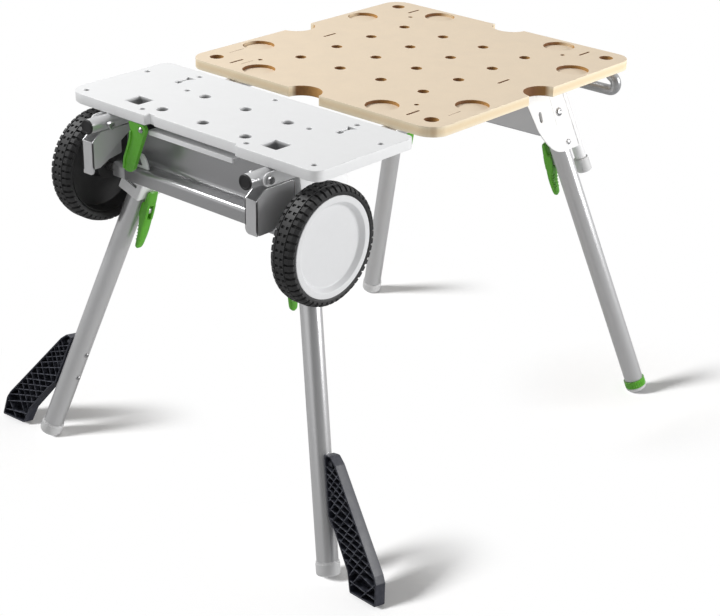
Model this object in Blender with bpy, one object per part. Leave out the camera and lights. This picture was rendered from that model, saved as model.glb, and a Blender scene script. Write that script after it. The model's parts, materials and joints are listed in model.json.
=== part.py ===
"""Folding wheeled stand for a table saw: two boards on rails, four folding legs, wheels and a pull handle."""

import math

import bmesh
import bpy
from mathutils import Matrix, Vector

# Gaps
SEAT_GAP = 0.0003
RUN_GAP = 0.0005
CUT_OVER = 0.002

# Board. X runs along the rails toward the pull handle, Z is up, and the board's middle lies over X = Y = 0.
TOP_HEIGHT = 0.669
BOARD_HALF = 0.288
BOARD_THICK = 0.018
BOARD_CORNER = 0.036
EDGE_BREAK = 0.0015
GRID_PITCH = BOARD_HALF / 3.0
HOLE_RADIUS = 0.010
CORNER_HOLE_RADIUS = 0.0125
CORNER_HOLE_INSET = 0.0375
RECESS_RADIUS = 0.029
RECESS_DEPTH = 0.006
RECESS_INSET = 0.0372
CUTOUT_RADIUS = 0.0355
CUTOUT_OUTSET = 0.005
SLOT_LENGTH = 0.033
SLOT_WIDTH = 0.0032
SLOT_DEPTH = 0.008
SLOT_INSET_X = 0.0435
SLOT_INSET_Y = 0.082
SCREW_HOLE_RADIUS = 0.0042
SCREW_HOLE_INSET = 0.080

# Machine plate, behind a gap at the board's wheel side
PLATE_GAP = 0.046
PLATE_LENGTH = 0.229
PLATE_OVERHANG = 0.001
PLATE_THICK = 0.018
PLATE_CORNER = 0.020
PLATE_LEVER_CORNER = 0.044
PLATE_STEP = 0.008
PLATE_STEP_RIGHT_Y = -0.111
PLATE_STEP_LEFT_Y = 0.094
PLATE_GROOVE = 0.014
PLATE_GROOVE_DEPTH = 0.012
PLATE_HOLE_INSET = 0.0417
PLATE_SMALL_RADIUS = 0.005
PLATE_SPOT_SHARES = [(0.096, 0.907), (0.721, 0.934), (0.904, 0.633), (0.609, 0.488), (0.087, 0.415)]
PLATE_MIDDLE_SHARE = 0.902
POCKET_SIDE = 0.034
POCKET_INSET = 0.047
POCKET_RAIL_OFFSET = 0.025
KEY_INSET = 0.068
KEY_RAIL_OFFSET = 0.004
KEY_SQUARE = 0.011
KEY_NECK = 0.005
KEY_LENGTH = 0.032
KEY_HEAD = 0.022
PLATE_FAR_X = -BOARD_HALF - PLATE_GAP
PLATE_NEAR_X = PLATE_FAR_X - PLATE_LENGTH
PLATE_HALF_WIDTH = BOARD_HALF + PLATE_OVERHANG

# Rails. What hangs under the boards is placed by how far below their top it lies.
RAIL_RADIUS = 0.0125
RAIL_WALL = 0.0020
RAIL_INSET = 0.105
RAIL_PAST_PLATE = 0.043
RAIL_SHORT_OF_BOARD = 0.026
PLUG_LIP = 0.0040
PLUG_DEPTH = 0.018
PLUG_ROUND = 0.0015
RAIL_Y = BOARD_HALF - RAIL_INSET
RAIL_NEAR_X = PLATE_NEAR_X - RAIL_PAST_PLATE
RAIL_FAR_X = BOARD_HALF - RAIL_SHORT_OF_BOARD
RAIL_Z = TOP_HEIGHT - BOARD_THICK - SEAT_GAP - RAIL_RADIUS

# Front beam and the ledge above it
SHEET = 0.0025
BEAM_WEB_INSET = 0.051
BEAM_NOSE_INSET = 0.015
BEAM_SHELF_DROP = 0.108
BEAM_LIP_DROP = 0.1335
BEAM_ROUND = 0.008
BEAM_PAST_RAIL = 0.012
BEAM_WEB_SHORT = 0.017
BEAM_LOW_DROP = 0.051
LEDGE_INSET = 0.011
LEDGE_DROP = 0.0285
LEDGE_LIP = 0.0085
LEDGE_RAIL_OFFSET = 0.086
BEAM_WEB_X = PLATE_NEAR_X + BEAM_WEB_INSET
BEAM_NOSE_X = PLATE_NEAR_X + BEAM_NOSE_INSET
BEAM_SHELF_Z = TOP_HEIGHT - BEAM_SHELF_DROP
BEAM_HALF_WIDTH = RAIL_Y + BEAM_PAST_RAIL
LEDGE_HALF = RAIL_Y - LEDGE_RAIL_OFFSET

# Wheel brackets, rail straps and their bolts
WHEEL_BRACKET_PAST_PLATE = 0.041
WHEEL_BRACKET_INNER = 0.006
WHEEL_BRACKET_OUTER = 0.020
WHEEL_BRACKET_DROP = 0.0585
WHEEL_BRACKET_LOW_DROP = 0.116
STRAP_OFFSET = 0.0155
STRAP_THICK = 0.0025
STRAP_EDGE = 0.0006
RAIL_BOLT_PAST_PLATE = 0.012
RAIL_BOLT_RADIUS = 0.0035
RAIL_BOLT_HEAD = 0.0065
NUT_SHARE = 0.9
SOCKET_SHARE = 0.5
RAIL_BOLT_X = PLATE_NEAR_X - RAIL_BOLT_PAST_PLATE

# Axle and wheels. Inset is measured from the side faces of the tyre.
AXLE_INSET = 0.0465
AXLE_DROP = 0.1368
AXLE_RADIUS = 0.006
WHEEL_RADIUS = 0.0987
WHEEL_PAST_RAIL = 0.0996
WHEEL_WIDTH = 0.0469
RIM_DEPTH = 0.0149
RIM_WALL = 0.009
RIM_LIP = 0.004
RIM_INSET = 0.002
HUB_CORE_RADIUS = 0.022
HUB_INSET = 0.010
WEB_THICK = 0.005
WHEEL_DRAFT = 0.002
TREAD_SIDE = 0.007
TREAD_BEND = 0.002
TREAD_BEND_INSET = 0.005
TREAD_INSET = 0.013
CAP_INSET = 0.001
CAP_BREAK = 0.0025
CAP_SKIRT = 0.008
CAP_WALL = 0.0025
DISH_MARGIN = 0.0297
DISH_DEPTH = 0.0085
DISH_DRAFT = 0.001
DISH_RISE = 0.003
RIM_RADIUS = WHEEL_RADIUS - RIM_DEPTH
CAP_RADIUS = RIM_RADIUS - SEAT_GAP
DISH_RADIUS = WHEEL_RADIUS - DISH_MARGIN
AXLE_X = PLATE_NEAR_X + AXLE_INSET
AXLE_Z = TOP_HEIGHT - AXLE_DROP
WHEEL_OUT_Y = RAIL_Y + WHEEL_PAST_RAIL

# Legs. Each axis passes the level of the brackets at LEG_X and LEG_Y and leans in both ways on its way up.
BRACKET_DROP = 0.107
PIVOT_NEAR_DROP = 0.146
LEG_FAR_INSET = 0.1037
LEG_NEAR_INSET = 0.0905
LEG_RAIL_OFFSET = 0.0064
SPLAY_SHARE = 0.3130
RAKE_NEAR_SHARE = 0.2242
RAKE_FAR_SHARE = 0.2087
LEG_RADIUS = 0.0180
LEG_WALL = 0.0020
LEG_ABOVE_PIVOT = 0.016
BRACKET_Z = TOP_HEIGHT - BRACKET_DROP
PIVOT_NEAR_Z = TOP_HEIGHT - PIVOT_NEAR_DROP
LEG_FAR_X = BOARD_HALF - LEG_FAR_INSET
LEG_NEAR_X = PLATE_NEAR_X + LEG_NEAR_INSET
LEG_Y = RAIL_Y - LEG_RAIL_OFFSET

# Leg brackets. Cheek shares are (toward the middle, up or down) of reach, top and depth, from the axis there.
CHEEK_INSIDE = 0.0215
CHEEK_THICK = 0.0025
WEB_OFFSET = 0.0286
CHEEK_TOP = 0.0605
CHEEK_DEPTH = 0.074
CHEEK_REACH = 0.0965
CHEEK_BREAK = 0.002
CHEEK_FOOT = 0.006
CHEEK_INSET = 0.008
BELLY_SHARES = [(0.083, -1.0), (0.228, -0.96), (0.373, -0.858), (0.497, -0.703), (0.606, -0.514)]
NEAR_EDGE_SHARES = [(0.715, -0.297), (0.912, 0.579), (1.0, 1.0)]
INNER_FAR_SHARES = [(-0.041, -0.703), (0.104, -0.27), (0.29, 1.0)]
INNER_NEAR_SHARES = [(0.124, -1.0), (0.29, -0.703), (0.311, 1.0)]
CHEEK_SLOT_RADIUS = 0.0042
CHEEK_SLOT_HALF = 0.0062
CHEEK_SLOT_SHARES = [(0.57, 0.033)]
WEB_SLOT_SHARE = -0.703
WEB_SLOT_HALF_WIDTH = 0.014
WEB_SLOT_HALF_DEPTH = 0.0025
PIN_RADIUS = 0.0050
PIN_HEAD_RADIUS = 0.0080
PIN_HEAD = 0.0035
PIN_DOME_SHARES = [(0.0, 1.0), (0.6, 1.0), (0.92, 0.65), (1.0, 0.0)]
LOCK_RADIUS = 0.003
LOCK_HEAD_RADIUS = 0.005
LOCK_HEAD = 0.003
LOCK_DOME_SHARES = [(1.0, 0.0), (0.9, 0.6), (0.5, 1.0), (0.0, 1.0)]
LOCK_BELOW_PIVOT = 0.0565

# Feet and levelling ring
FOOT_RADIUS = 0.0200
FOOT_ROUND = 0.0060
FOOT_LENGTH = 0.0240
FOOT_DRAFT = 0.0015
SOLE_THICK = 0.0080
STEM_LENGTH = 0.030
RING_LENGTH = 0.0150
RING_OUTSET = 0.0004
FLUTE_DEPTH = 0.0005

# Lever lug and lever. Lever shares are (outward, along the leg) of its depth and reach, from its pin.
LEVER_BELOW_TOP = 0.164
LEVER_OUT = 0.0305
LEVER_WIDTH = 0.0215
LUG_HALF = 0.0035
LUG_ROUND = 0.0070
LUG_FLARE = 0.002
LEVER_PIN_RADIUS = 0.0028
LEVER_PIN_INSET = 0.002
LEVER_EDGE = 0.0018
LEVER_DEPTH = 0.015
LEVER_REACH = 0.0715
LEVER_FRONT_SHARES = [(-0.1, 0.517), (-0.4, 0.308), (-0.667, 0.0), (-0.833, -0.322), (-0.953, -0.629)]
LEVER_END_SHARES = [(-1.0, -0.839), (-0.9, -0.958), (-0.667, -1.0)]
LEVER_BACK_SHARES = [(-0.487, -0.958), (-0.38, -0.811), (-0.3, -0.601), (-0.067, -0.42), (0.287, -0.252)]
LEVER_HEAD_SHARES = [(0.533, -0.07), (0.62, 0.098), (0.533, 0.182), (0.287, 0.21), (0.287, 0.49)]
LEVER_TIP_SHARE = 0.72
LEVER_GRIP_SHARE = 0.45
FORK_HALF = 0.0125
LEVER_POCKET_TOP = -0.022
LEVER_POCKET_PITCH = 0.0085
LEVER_POCKET_LENGTH = 0.0062
LEVER_POCKET_FLOOR = -0.0085
LEVER_POCKET_MOUTH = 0.012
LEVER_POCKET_DRIFT = 0.0006
LEVER_WALL = 0.004
LEVER_ALONG = TOP_HEIGHT - LEVER_BELOW_TOP

# Skids. Skid shares are (outward, along the leg) of reach and length, from where the axis meets the floor.
SKID_HALF = 0.0110
SKID_WALL = 0.0024
SKID_EDGE = 0.001
SKID_REACH = 0.116
SKID_LENGTH = 0.205
SKID_OUTER_SHARES = [(0.164, 1.0), (0.284, 0.99), (0.371, 0.917), (0.974, 0.088), (1.0, 0.02)]
SKID_INNER_SHARES = [(0.957, -0.154), (0.483, -0.068), (0.466, 0.098), (0.276, 0.39), (0.164, 0.512)]
RIB_OUTER_SHARES = [(0.371, 0.917), (0.974, 0.088)]
RIB_INNER_SHARES = [(0.164, 0.732), (0.483, -0.049)]
RIB_SET = 0.0015
RIB_SHARE = 0.4
RIB_SLANT_SHARE = 0.04
SKID_SCREW_UPPER_Z = 0.189
SKID_SCREW_LOWER_Z = 0.139
SKID_SCREW_RADIUS = 0.0025
SKID_SCREW_HEAD_RADIUS = 0.0045
SKID_SCREW_HEAD = 0.0022
SKID_SCREW_EDGE = 0.0008
SKID_SCREW_FACE_SHARE = 0.7
SKID_SCREW_TIP = 0.0255
SKID_BOSS_RADIUS = 0.006
SKID_BOSS_TIP = 0.030

# Parking feet
POST_OFFSET = 0.0505
POST_RADIUS = 0.0110
POST_WALL = 0.002
POST_TOP = 0.030
PARK_DROP = 0.235
PARK_CAP_RADIUS = 0.0145
PARK_CAP_LENGTH = 0.028
PARK_ROUND = 0.004
PARK_DRAFT = 0.0008
PARK_BREAK_SHARE = 0.3
TAB_HALF_WIDTH = 0.004
TAB_HALF_LENGTH = 0.008
TAB_SHARES = [-0.541, 0.248]

# Handle end
REAR_BEAM_INSET = 0.138
REAR_BEAM_DROP = 0.0455
REAR_BEAM_LOW_DROP = 0.084
REAR_BEAM_DEPTH = 0.030
BRACE_REACH = 0.281
BRACE_FOOT_SHARES = [(0.659, -0.416)]
BRACE_GAP = 0.00036
HANDLE_RADIUS = 0.0100
HANDLE_IN_RAIL = 0.252
HANDLE_PAST_RAIL = 0.058
HANDLE_BAR_PAST_RAIL = 0.062
HANDLE_BAR_DROP = 0.085
HANDLE_SIDE_PAST_RAIL = 0.079
HANDLE_BEND = 0.028
HANDLE_HAIRPIN = 0.0145
HANDLE_HALF = RAIL_Y + HANDLE_SIDE_PAST_RAIL
HANDLE_BAR_X = RAIL_FAR_X + HANDLE_BAR_PAST_RAIL
HANDLE_BAR_Z = TOP_HEIGHT - HANDLE_BAR_DROP

# Latch lever, its shares (across, up) of side and reach from its bolt, and the keeper on the beam's shelf
LATCH_INSET = 0.0045
LATCH_RAIL_OFFSET = 0.0795
LATCH_DROP = 0.0285
LATCH_THICK = 0.0080
LATCH_HEAD = 0.0098
LATCH_EDGE = 0.0012
LATCH_REACH = 0.0805
LATCH_SIDE = 0.0485
LATCH_TIP_SHARES = [(0.392, -0.807), (0.464, -0.913), (0.598, -0.988), (0.732, -1.0), (0.907, -0.988)]
LATCH_SIDE_SHARES = [(1.0, -0.907), (0.897, -0.702), (0.722, -0.46), (0.577, -0.242), (0.546, -0.075)]
LATCH_RIM_SHARES = [(0.969, -0.944), (0.907, -0.696), (0.726, -0.453), (0.581, -0.236), (0.548, -0.075)]
LATCH_RIM_SHARES += [(0.464, -0.075), (0.499, -0.248), (0.643, -0.472), (0.825, -0.714), (0.887, -0.944)]
LATCH_SHOULDER_SHARE = 0.629
LATCH_RIM_RISE = 0.0025
LATCH_BOLT_RADIUS = 0.003
LATCH_BOLT_HEAD_RADIUS = 0.0055
LATCH_BOLT_FACE_RADIUS = 0.0035
LATCH_BOLT_HEAD = 0.003
LATCH_BOLT_EDGE = 0.001
BUSH_RADIUS = 0.0054
KEEPER_OFFSET = 0.0125
KEEPER_LENGTH = 0.034
KEEPER_HEIGHT = 0.0257
KEEPER_SHARES = [(0.0, 0.0), (1.0, 0.0), (1.0, 0.156), (0.441, 0.156), (0.618, 0.689), (0.544, 1.0)]
KEEPER_SHARES += [(0.382, 0.981), (0.191, 0.728), (0.044, 0.339)]
KEEPER_SET = 0.002
LATCH_X = PLATE_NEAR_X + LATCH_INSET
LATCH_Y = RAIL_Y - LATCH_RAIL_OFFSET
LATCH_Z = TOP_HEIGHT - LATCH_DROP
SIDES = ((1.0, "left"), (-1.0, "right"))


def clear_scene():
    for old in list(bpy.data.objects):
        bpy.data.objects.remove(old)


def finish(name, colour, roughness, metallic=0.0):
    """One Principled material for the named sub-part."""
    material = bpy.data.materials.new(name)
    material.use_nodes = True
    shader = material.node_tree.nodes["Principled BSDF"]
    shader.inputs["Base Color"].default_value = (*colour, 1.0)
    shader.inputs["Roughness"].default_value = roughness
    shader.inputs["Metallic"].default_value = metallic
    material.diffuse_color = (*colour, 1.0)
    return material


WOOD = ((0.70, 0.52, 0.34), 0.62)
PALE = ((0.80, 0.81, 0.82), 0.42)
GREY = ((0.42, 0.43, 0.45), 0.45)
SLATE = ((0.045, 0.048, 0.060), 0.48)
BLACK = ((0.015, 0.015, 0.016), 0.62)
GREEN = ((0.13, 0.50, 0.03), 0.38)
STEEL = ((0.55, 0.56, 0.58), 0.30, 0.9)


def empty(name, matrix, parent=None):
    holder = bpy.data.objects.new(name, None)
    bpy.context.scene.collection.objects.link(holder)
    holder.parent = parent
    holder.matrix_local = matrix
    return holder


def add(name, bm, look, parent, smooth_from=32.0):
    """Turns a bmesh into a named object under the given holder."""
    bm.normal_update()
    bmesh.ops.recalc_face_normals(bm, faces=bm.faces)
    mesh = bpy.data.meshes.new(name)
    bm.to_mesh(mesh)
    bm.free()
    obj = bpy.data.objects.new(name, mesh)
    bpy.context.scene.collection.objects.link(obj)
    obj.parent = parent
    if look is None:
        obj.hide_render = True
        obj.display_type = "WIRE"
    else:
        mesh.materials.append(finish(name, *look))
        for polygon in mesh.polygons:
            polygon.use_smooth = True
        mesh.set_sharp_from_angle(angle=math.radians(smooth_from))
    return obj


def boolean(obj, bm, operation="DIFFERENCE", name="cut"):
    """Joins or cuts with a hidden helper that sits in the object's own frame."""
    helper = add(f"{obj.name}_{name}", bm, None, obj.parent)
    step = obj.modifiers.new(name, "BOOLEAN")
    step.operation = operation
    step.solver = "EXACT"
    step.object = helper


def prism(outline, low, high, edge=0.0):
    """A flat outline in X and Y raised from low to high, with its rims broken by the edge size."""
    bm = bmesh.new()
    face = bm.faces.new([bm.verts.new((x, y, low)) for x, y in outline])
    raised = bmesh.ops.extrude_face_region(bm, geom=[face])["geom"]
    moved = [v for v in raised if isinstance(v, bmesh.types.BMVert)]
    bmesh.ops.translate(bm, verts=moved, vec=(0.0, 0.0, high - low))
    if edge:
        flat = [e for e in bm.edges if abs(e.verts[0].co.z - e.verts[1].co.z) < edge]
        bmesh.ops.bevel(bm, geom=flat, offset=edge, segments=1, affect="EDGES")
    return bm


def box(x0, x1, y0, y1, z0, z1):
    return prism([(x0, y0), (x1, y0), (x1, y1), (x0, y1)], z0, z1)


def arc(cx, cy, radius, start, stop, steps):
    """Points on an arc, angles in degrees."""
    spread = [math.radians(start + (stop - start) * i / steps) for i in range(steps + 1)]
    return [(cx + radius * math.cos(t), cy + radius * math.sin(t)) for t in spread]


def sized(shares, wide, high):
    """Points given as shares of two sizes."""
    return [(x * wide, y * high) for x, y in shares]


def disc(radius, low, high, steps, x=0.0, y=0.0):
    return prism(arc(x, y, radius, 0.0, 360.0, steps)[:-1], low, high)


def lathe(profile, steps, closed=False):
    """Turns (radius, height) points round Z. Points on the axis close the ends, or the profile is a loop."""
    bm = bmesh.new()
    rings = []
    for radius, height in profile:
        if radius == 0.0:
            rings.append([bm.verts.new((0.0, 0.0, height))])
        else:
            ring = arc(0.0, 0.0, radius, 0.0, 360.0, steps)[:-1]
            rings.append([bm.verts.new((x, y, height)) for x, y in ring])
    pairs = list(zip(rings, rings[1:] + rings[:1])) if closed else list(zip(rings, rings[1:]))
    for first, second in pairs:
        for i in range(steps):
            j = (i + 1) % steps
            if len(first) == 1:
                bm.faces.new((first[0], second[i], second[j]))
            elif len(second) == 1:
                bm.faces.new((first[i], first[j], second[0]))
            else:
                bm.faces.new((first[i], first[j], second[j], second[i]))
    return bm


def merge(*parts):
    """Several separate bodies as one mesh, for cutters."""
    whole = bmesh.new()
    for part in parts:
        mesh = bpy.data.meshes.new("merged")
        part.normal_update()
        bmesh.ops.recalc_face_normals(part, faces=part.faces)
        part.to_mesh(mesh)
        part.free()
        whole.from_mesh(mesh)
        bpy.data.meshes.remove(mesh)
    return whole


def turned(bm, matrix):
    bm.transform(matrix)
    bm.normal_update()
    return bm


def placed(bm, x=0.0, y=0.0, z=0.0):
    return turned(bm, Matrix.Translation((x, y, z)))


ALONG_X = Matrix.Rotation(math.radians(90.0), 4, "Y")
ALONG_Y = Matrix.Rotation(math.radians(-90.0), 4, "X")
UPRIGHT_XZ = Matrix.Rotation(math.radians(90.0), 4, "X")
UPRIGHT_YZ = Matrix(((0, 0, 1, 0), (1, 0, 0, 0), (0, 1, 0, 0), (0, 0, 0, 1)))


def sheet_xz(outline, y0, y1, edge=0.0):
    """An outline in X and Z made solid between two Y planes."""
    return turned(prism(outline, -y1, -y0, edge), UPRIGHT_XZ)


def sheet_yz(outline, x0, x1, edge=0.0):
    """An outline in Y and Z made solid between two X planes."""
    return turned(prism(outline, x0, x1, edge), UPRIGHT_YZ)


def sweep(points, radius, steps, bends, bend_steps):
    """A round bar along a polyline whose corners are rounded to their bend radii."""
    path = [Vector(points[0])]
    for before, corner, after, bend in zip(points, points[1:], points[2:], bends):
        corner = Vector(corner)
        into = (corner - Vector(before)).normalized()
        out = (Vector(after) - corner).normalized()
        half = into.angle(out) / 2.0
        reach = bend * math.tan(half)
        start = corner - into * reach
        axis = into.cross(out).normalized()
        centre = start + axis.cross(into) * bend
        for i in range(bend_steps + 1):
            swing = Matrix.Rotation(2.0 * half * i / bend_steps, 3, axis)
            path.append(centre + swing @ (start - centre))
    path.append(Vector(points[-1]))
    bm = bmesh.new()
    side = Vector((0.0, 0.0, 1.0))
    rings = []
    for i, here in enumerate(path):
        ahead = (path[min(i + 1, len(path) - 1)] - path[max(i - 1, 0)]).normalized()
        side = (side - ahead * side.dot(ahead)).normalized()
        other = ahead.cross(side)
        ring = arc(0.0, 0.0, radius, 0.0, 360.0, steps)[:-1]
        rings.append([bm.verts.new(here + side * a + other * b) for a, b in ring])
    for first, second in zip(rings, rings[1:]):
        for i in range(steps):
            j = (i + 1) % steps
            bm.faces.new((first[i], first[j], second[j], second[i]))
    bm.faces.new(rings[0])
    bm.faces.new(rings[-1])
    return bm


def board_outline():
    """Square with round corners and one round cut-out in the middle of each side."""
    half_chord = math.sqrt(CUTOUT_RADIUS**2 - CUTOUT_OUTSET**2)
    swing = math.degrees(math.acos(CUTOUT_OUTSET / CUTOUT_RADIUS))
    side = [(-half_chord, -BOARD_HALF)]
    side += arc(0.0, -BOARD_HALF - CUTOUT_OUTSET, CUTOUT_RADIUS, 90.0 + swing, 90.0 - swing, 7)[1:-1]
    side += [(half_chord, -BOARD_HALF)]
    middle = BOARD_HALF - BOARD_CORNER
    side += arc(middle, -middle, BOARD_CORNER, -90.0, 0.0, 4)[:-1]
    outline = []
    for quarter in range(4):
        turn = Matrix.Rotation(math.radians(90.0 * quarter), 2)
        outline += [tuple(turn @ Vector(p)) for p in side]
    return outline


def slot_cutter(x, y, low, high):
    half = SLOT_LENGTH / 2.0 - SLOT_WIDTH / 2.0
    ends = arc(x + half, y, SLOT_WIDTH / 2.0, -90.0, 90.0, 2)
    ends += arc(x - half, y, SLOT_WIDTH / 2.0, 90.0, 270.0, 2)
    return prism(ends, low, high)


def build_board(root):
    low = TOP_HEIGHT - BOARD_THICK
    board = add("hole_board", prism(board_outline(), low, TOP_HEIGHT, EDGE_BREAK), WOOD, root)
    under, over = low - CUT_OVER, TOP_HEIGHT + CUT_OVER
    cells = [GRID_PITCH * (i - 1.5) for i in range(4)]
    cutters = [disc(HOLE_RADIUS, under, over, 10, x, y) for x in cells for y in cells]
    corner = BOARD_HALF - CORNER_HOLE_INSET
    screw = BOARD_HALF - SCREW_HOLE_INSET
    outer, inner = BOARD_HALF - RECESS_INSET, cells[-1]
    slot_x, slot_y = BOARD_HALF - SLOT_INSET_X, BOARD_HALF - SLOT_INSET_Y
    floor = TOP_HEIGHT - RECESS_DEPTH
    for a, _ in SIDES:
        for b, _ in SIDES:
            cutters.append(disc(CORNER_HOLE_RADIUS, under, over, 10, a * corner, b * corner))
            cutters.append(disc(SCREW_HOLE_RADIUS, under, over, 6, a * screw, b * RAIL_Y))
            cutters.append(disc(RECESS_RADIUS, floor, over, 14, a * outer, b * inner))
            cutters.append(disc(RECESS_RADIUS, floor, over, 14, a * inner, b * outer))
        for x in (-slot_x, 0.0, slot_x):
            cutters.append(slot_cutter(x, a * slot_y, TOP_HEIGHT - SLOT_DEPTH, over))
    boolean(board, merge(*cutters))


def plate_outline():
    """Round-cornered plate whose front edge steps back in the middle behind a square groove."""
    y, r, wide = PLATE_HALF_WIDTH, PLATE_CORNER, PLATE_LEVER_CORNER
    back = PLATE_NEAR_X + PLATE_STEP
    deep = PLATE_NEAR_X + PLATE_GROOVE_DEPTH
    side = PLATE_STEP_LEFT_Y - PLATE_GROOVE
    points = [(PLATE_NEAR_X, PLATE_STEP_LEFT_Y), (PLATE_NEAR_X, y - wide)]
    points += arc(PLATE_NEAR_X + wide, y - wide, wide, 180.0, 90.0, 6)[1:]
    points += arc(PLATE_FAR_X - r, y - r, r, 90.0, 0.0, 4)
    points += arc(PLATE_FAR_X - r, r - y, r, 0.0, -90.0, 4)
    points += arc(PLATE_NEAR_X + r, r - y, r, -90.0, -180.0, 4)
    points += [(PLATE_NEAR_X, PLATE_STEP_RIGHT_Y - PLATE_STEP / 2.0), (back, PLATE_STEP_RIGHT_Y)]
    return points + [(back, side), (deep, side), (deep, PLATE_STEP_LEFT_Y)]


def key_cutter(s, low, high):
    """Small square, narrow neck and arrow head in a row along X."""
    x, y = PLATE_FAR_X - KEY_INSET, s * (RAIL_Y + KEY_RAIL_OFFSET)
    square, neck, head = KEY_SQUARE / 2.0, KEY_NECK / 2.0, KEY_HEAD / 2.0
    end = x + KEY_LENGTH
    outline = [(x - square, y - square), (x + square, y - square), (x + square, y - neck)]
    outline += [(end - head, y - neck), (end, y - head), (end, y + head), (end - head, y + neck)]
    outline += [(x + square, y + neck), (x + square, y + square), (x - square, y + square)]
    return prism(outline, low, high)


def build_machine_plate(root):
    low = TOP_HEIGHT - PLATE_THICK
    plate = add("machine_plate", prism(plate_outline(), low, TOP_HEIGHT, EDGE_BREAK), PALE, root)
    under, over = low - CUT_OVER, TOP_HEIGHT + CUT_OVER
    first = PLATE_NEAR_X + PLATE_HOLE_INSET
    cutters = []
    for x in (first, first + GRID_PITCH):
        for y in (-GRID_PITCH, 0.0, GRID_PITCH):
            cutters.append(disc(HOLE_RADIUS, under, over, 10, x, y))
    cutters.append(disc(PLATE_SMALL_RADIUS, under, over, 6, PLATE_NEAR_X + PLATE_LENGTH * PLATE_MIDDLE_SHARE))
    half, middle = POCKET_SIDE / 2.0, PLATE_NEAR_X + POCKET_INSET
    for s, _ in SIDES:
        for x, y in sized(PLATE_SPOT_SHARES, PLATE_LENGTH, PLATE_HALF_WIDTH):
            cutters.append(disc(PLATE_SMALL_RADIUS, under, over, 6, PLATE_NEAR_X + x, s * y))
        y = s * (RAIL_Y - POCKET_RAIL_OFFSET)
        cutters.append(box(middle - half, middle + half, y - half, y + half, under, over))
        cutters.append(key_cutter(s, TOP_HEIGHT - SLOT_DEPTH, over))
    boolean(plate, merge(*cutters))


def build_rails(root):
    inner = RAIL_RADIUS - RAIL_WALL
    loop = [(RAIL_RADIUS, RAIL_NEAR_X), (RAIL_RADIUS, RAIL_FAR_X), (inner, RAIL_FAR_X), (inner, RAIL_NEAR_X)]
    plug, lip = inner - RUN_GAP, RAIL_NEAR_X - SEAT_GAP
    end = lip - PLUG_LIP
    profile = [(0.0, lip + PLUG_DEPTH), (plug, lip + PLUG_DEPTH), (plug, lip), (RAIL_RADIUS, lip)]
    profile += [(RAIL_RADIUS, end + PLUG_ROUND), (RAIL_RADIUS - PLUG_ROUND, end), (0.0, end)]
    for s, word in SIDES:
        y = s * RAIL_Y
        tube = placed(turned(lathe(loop, 16, closed=True), ALONG_X), y=y, z=RAIL_Z)
        rail = add(f"rail_{word}", tube, PALE, root)
        bolt_hole = turned(disc(RAIL_BOLT_RADIUS + RUN_GAP, -RAIL_Y, RAIL_Y, 8), ALONG_Y)
        boolean(rail, placed(bolt_hole, RAIL_BOLT_X, y, RAIL_Z))
        body = placed(turned(lathe(profile, 16), ALONG_X), y=y, z=RAIL_Z)
        add(f"rail_plug_{word}", body, BLACK, root)
        build_strap(root, s, word)
        build_rail_bolt(root, s, word)


def build_strap(root, s, word):
    """Round-ended strap on one side of the rail, round its bolt."""
    r = RAIL_RADIUS - SHEET / 2.0
    end = BEAM_WEB_X - SHEET
    outline = arc(RAIL_BOLT_X, RAIL_Z, r, 90.0, 270.0, 8) + [(end, RAIL_Z - r), (end, RAIL_Z + r)]
    start = RAIL_Y + STRAP_OFFSET
    span = sorted((s * start, s * (start + STRAP_THICK)))
    strap = add(f"rail_strap_{word}", sheet_xz(outline, *span, STRAP_EDGE), PALE, root)
    hole = turned(disc(RAIL_BOLT_RADIUS + RUN_GAP, -SHEET, STRAP_THICK + SHEET, 8), ALONG_Y)
    boolean(strap, placed(hole, RAIL_BOLT_X, span[0], RAIL_Z))


def build_rail_bolt(root, s, word):
    """Cap bolt through the rail and its strap, head toward the near side, nut on the other."""
    reach = STRAP_OFFSET + STRAP_THICK + SEAT_GAP
    nut, socket = RAIL_BOLT_HEAD * NUT_SHARE, RAIL_BOLT_HEAD * SOCKET_SHARE
    end, head = -reach - RAIL_BOLT_RADIUS, reach + RAIL_BOLT_HEAD
    profile = [(0.0, end), (nut, end), (nut, -reach), (RAIL_BOLT_RADIUS, -reach), (RAIL_BOLT_RADIUS, reach)]
    profile += [(RAIL_BOLT_HEAD, reach), (RAIL_BOLT_HEAD, head), (socket, head), (socket, head - socket)]
    profile += [(0.0, head - socket)]
    flip = Matrix.Rotation(math.radians(180.0), 4, "Z")
    body = turned(turned(lathe(profile, 8), ALONG_Y), flip)
    add(f"rail_bolt_{word}", placed(body, RAIL_BOLT_X, s * RAIL_Y, RAIL_Z), STEEL, root)


def beam_profile():
    """Closed sheet outline in X and Z: web, shelf toward the wheels, round nose and lip."""
    web, nose, shelf, r = BEAM_WEB_X, BEAM_NOSE_X, BEAM_SHELF_Z, BEAM_ROUND
    top = TOP_HEIGHT - PLATE_THICK - SEAT_GAP
    lip = TOP_HEIGHT - BEAM_LIP_DROP
    under = arc(web - r - SHEET, shelf + r, r + SHEET, 0.0, -90.0, 4)
    over = arc(web - r - SHEET, shelf + r, r, 0.0, -90.0, 4)
    nose_out = arc(nose + r, shelf - r, r, 90.0, 180.0, 4)
    nose_in = arc(nose + r, shelf - r, r - SHEET, 90.0, 180.0, 4)
    outer = [(web - SHEET, top)] + over + nose_out + [(nose, lip)]
    inner = [(web, top)] + under + nose_in + [(nose + SHEET, lip)]
    return outer + inner[::-1]


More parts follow.
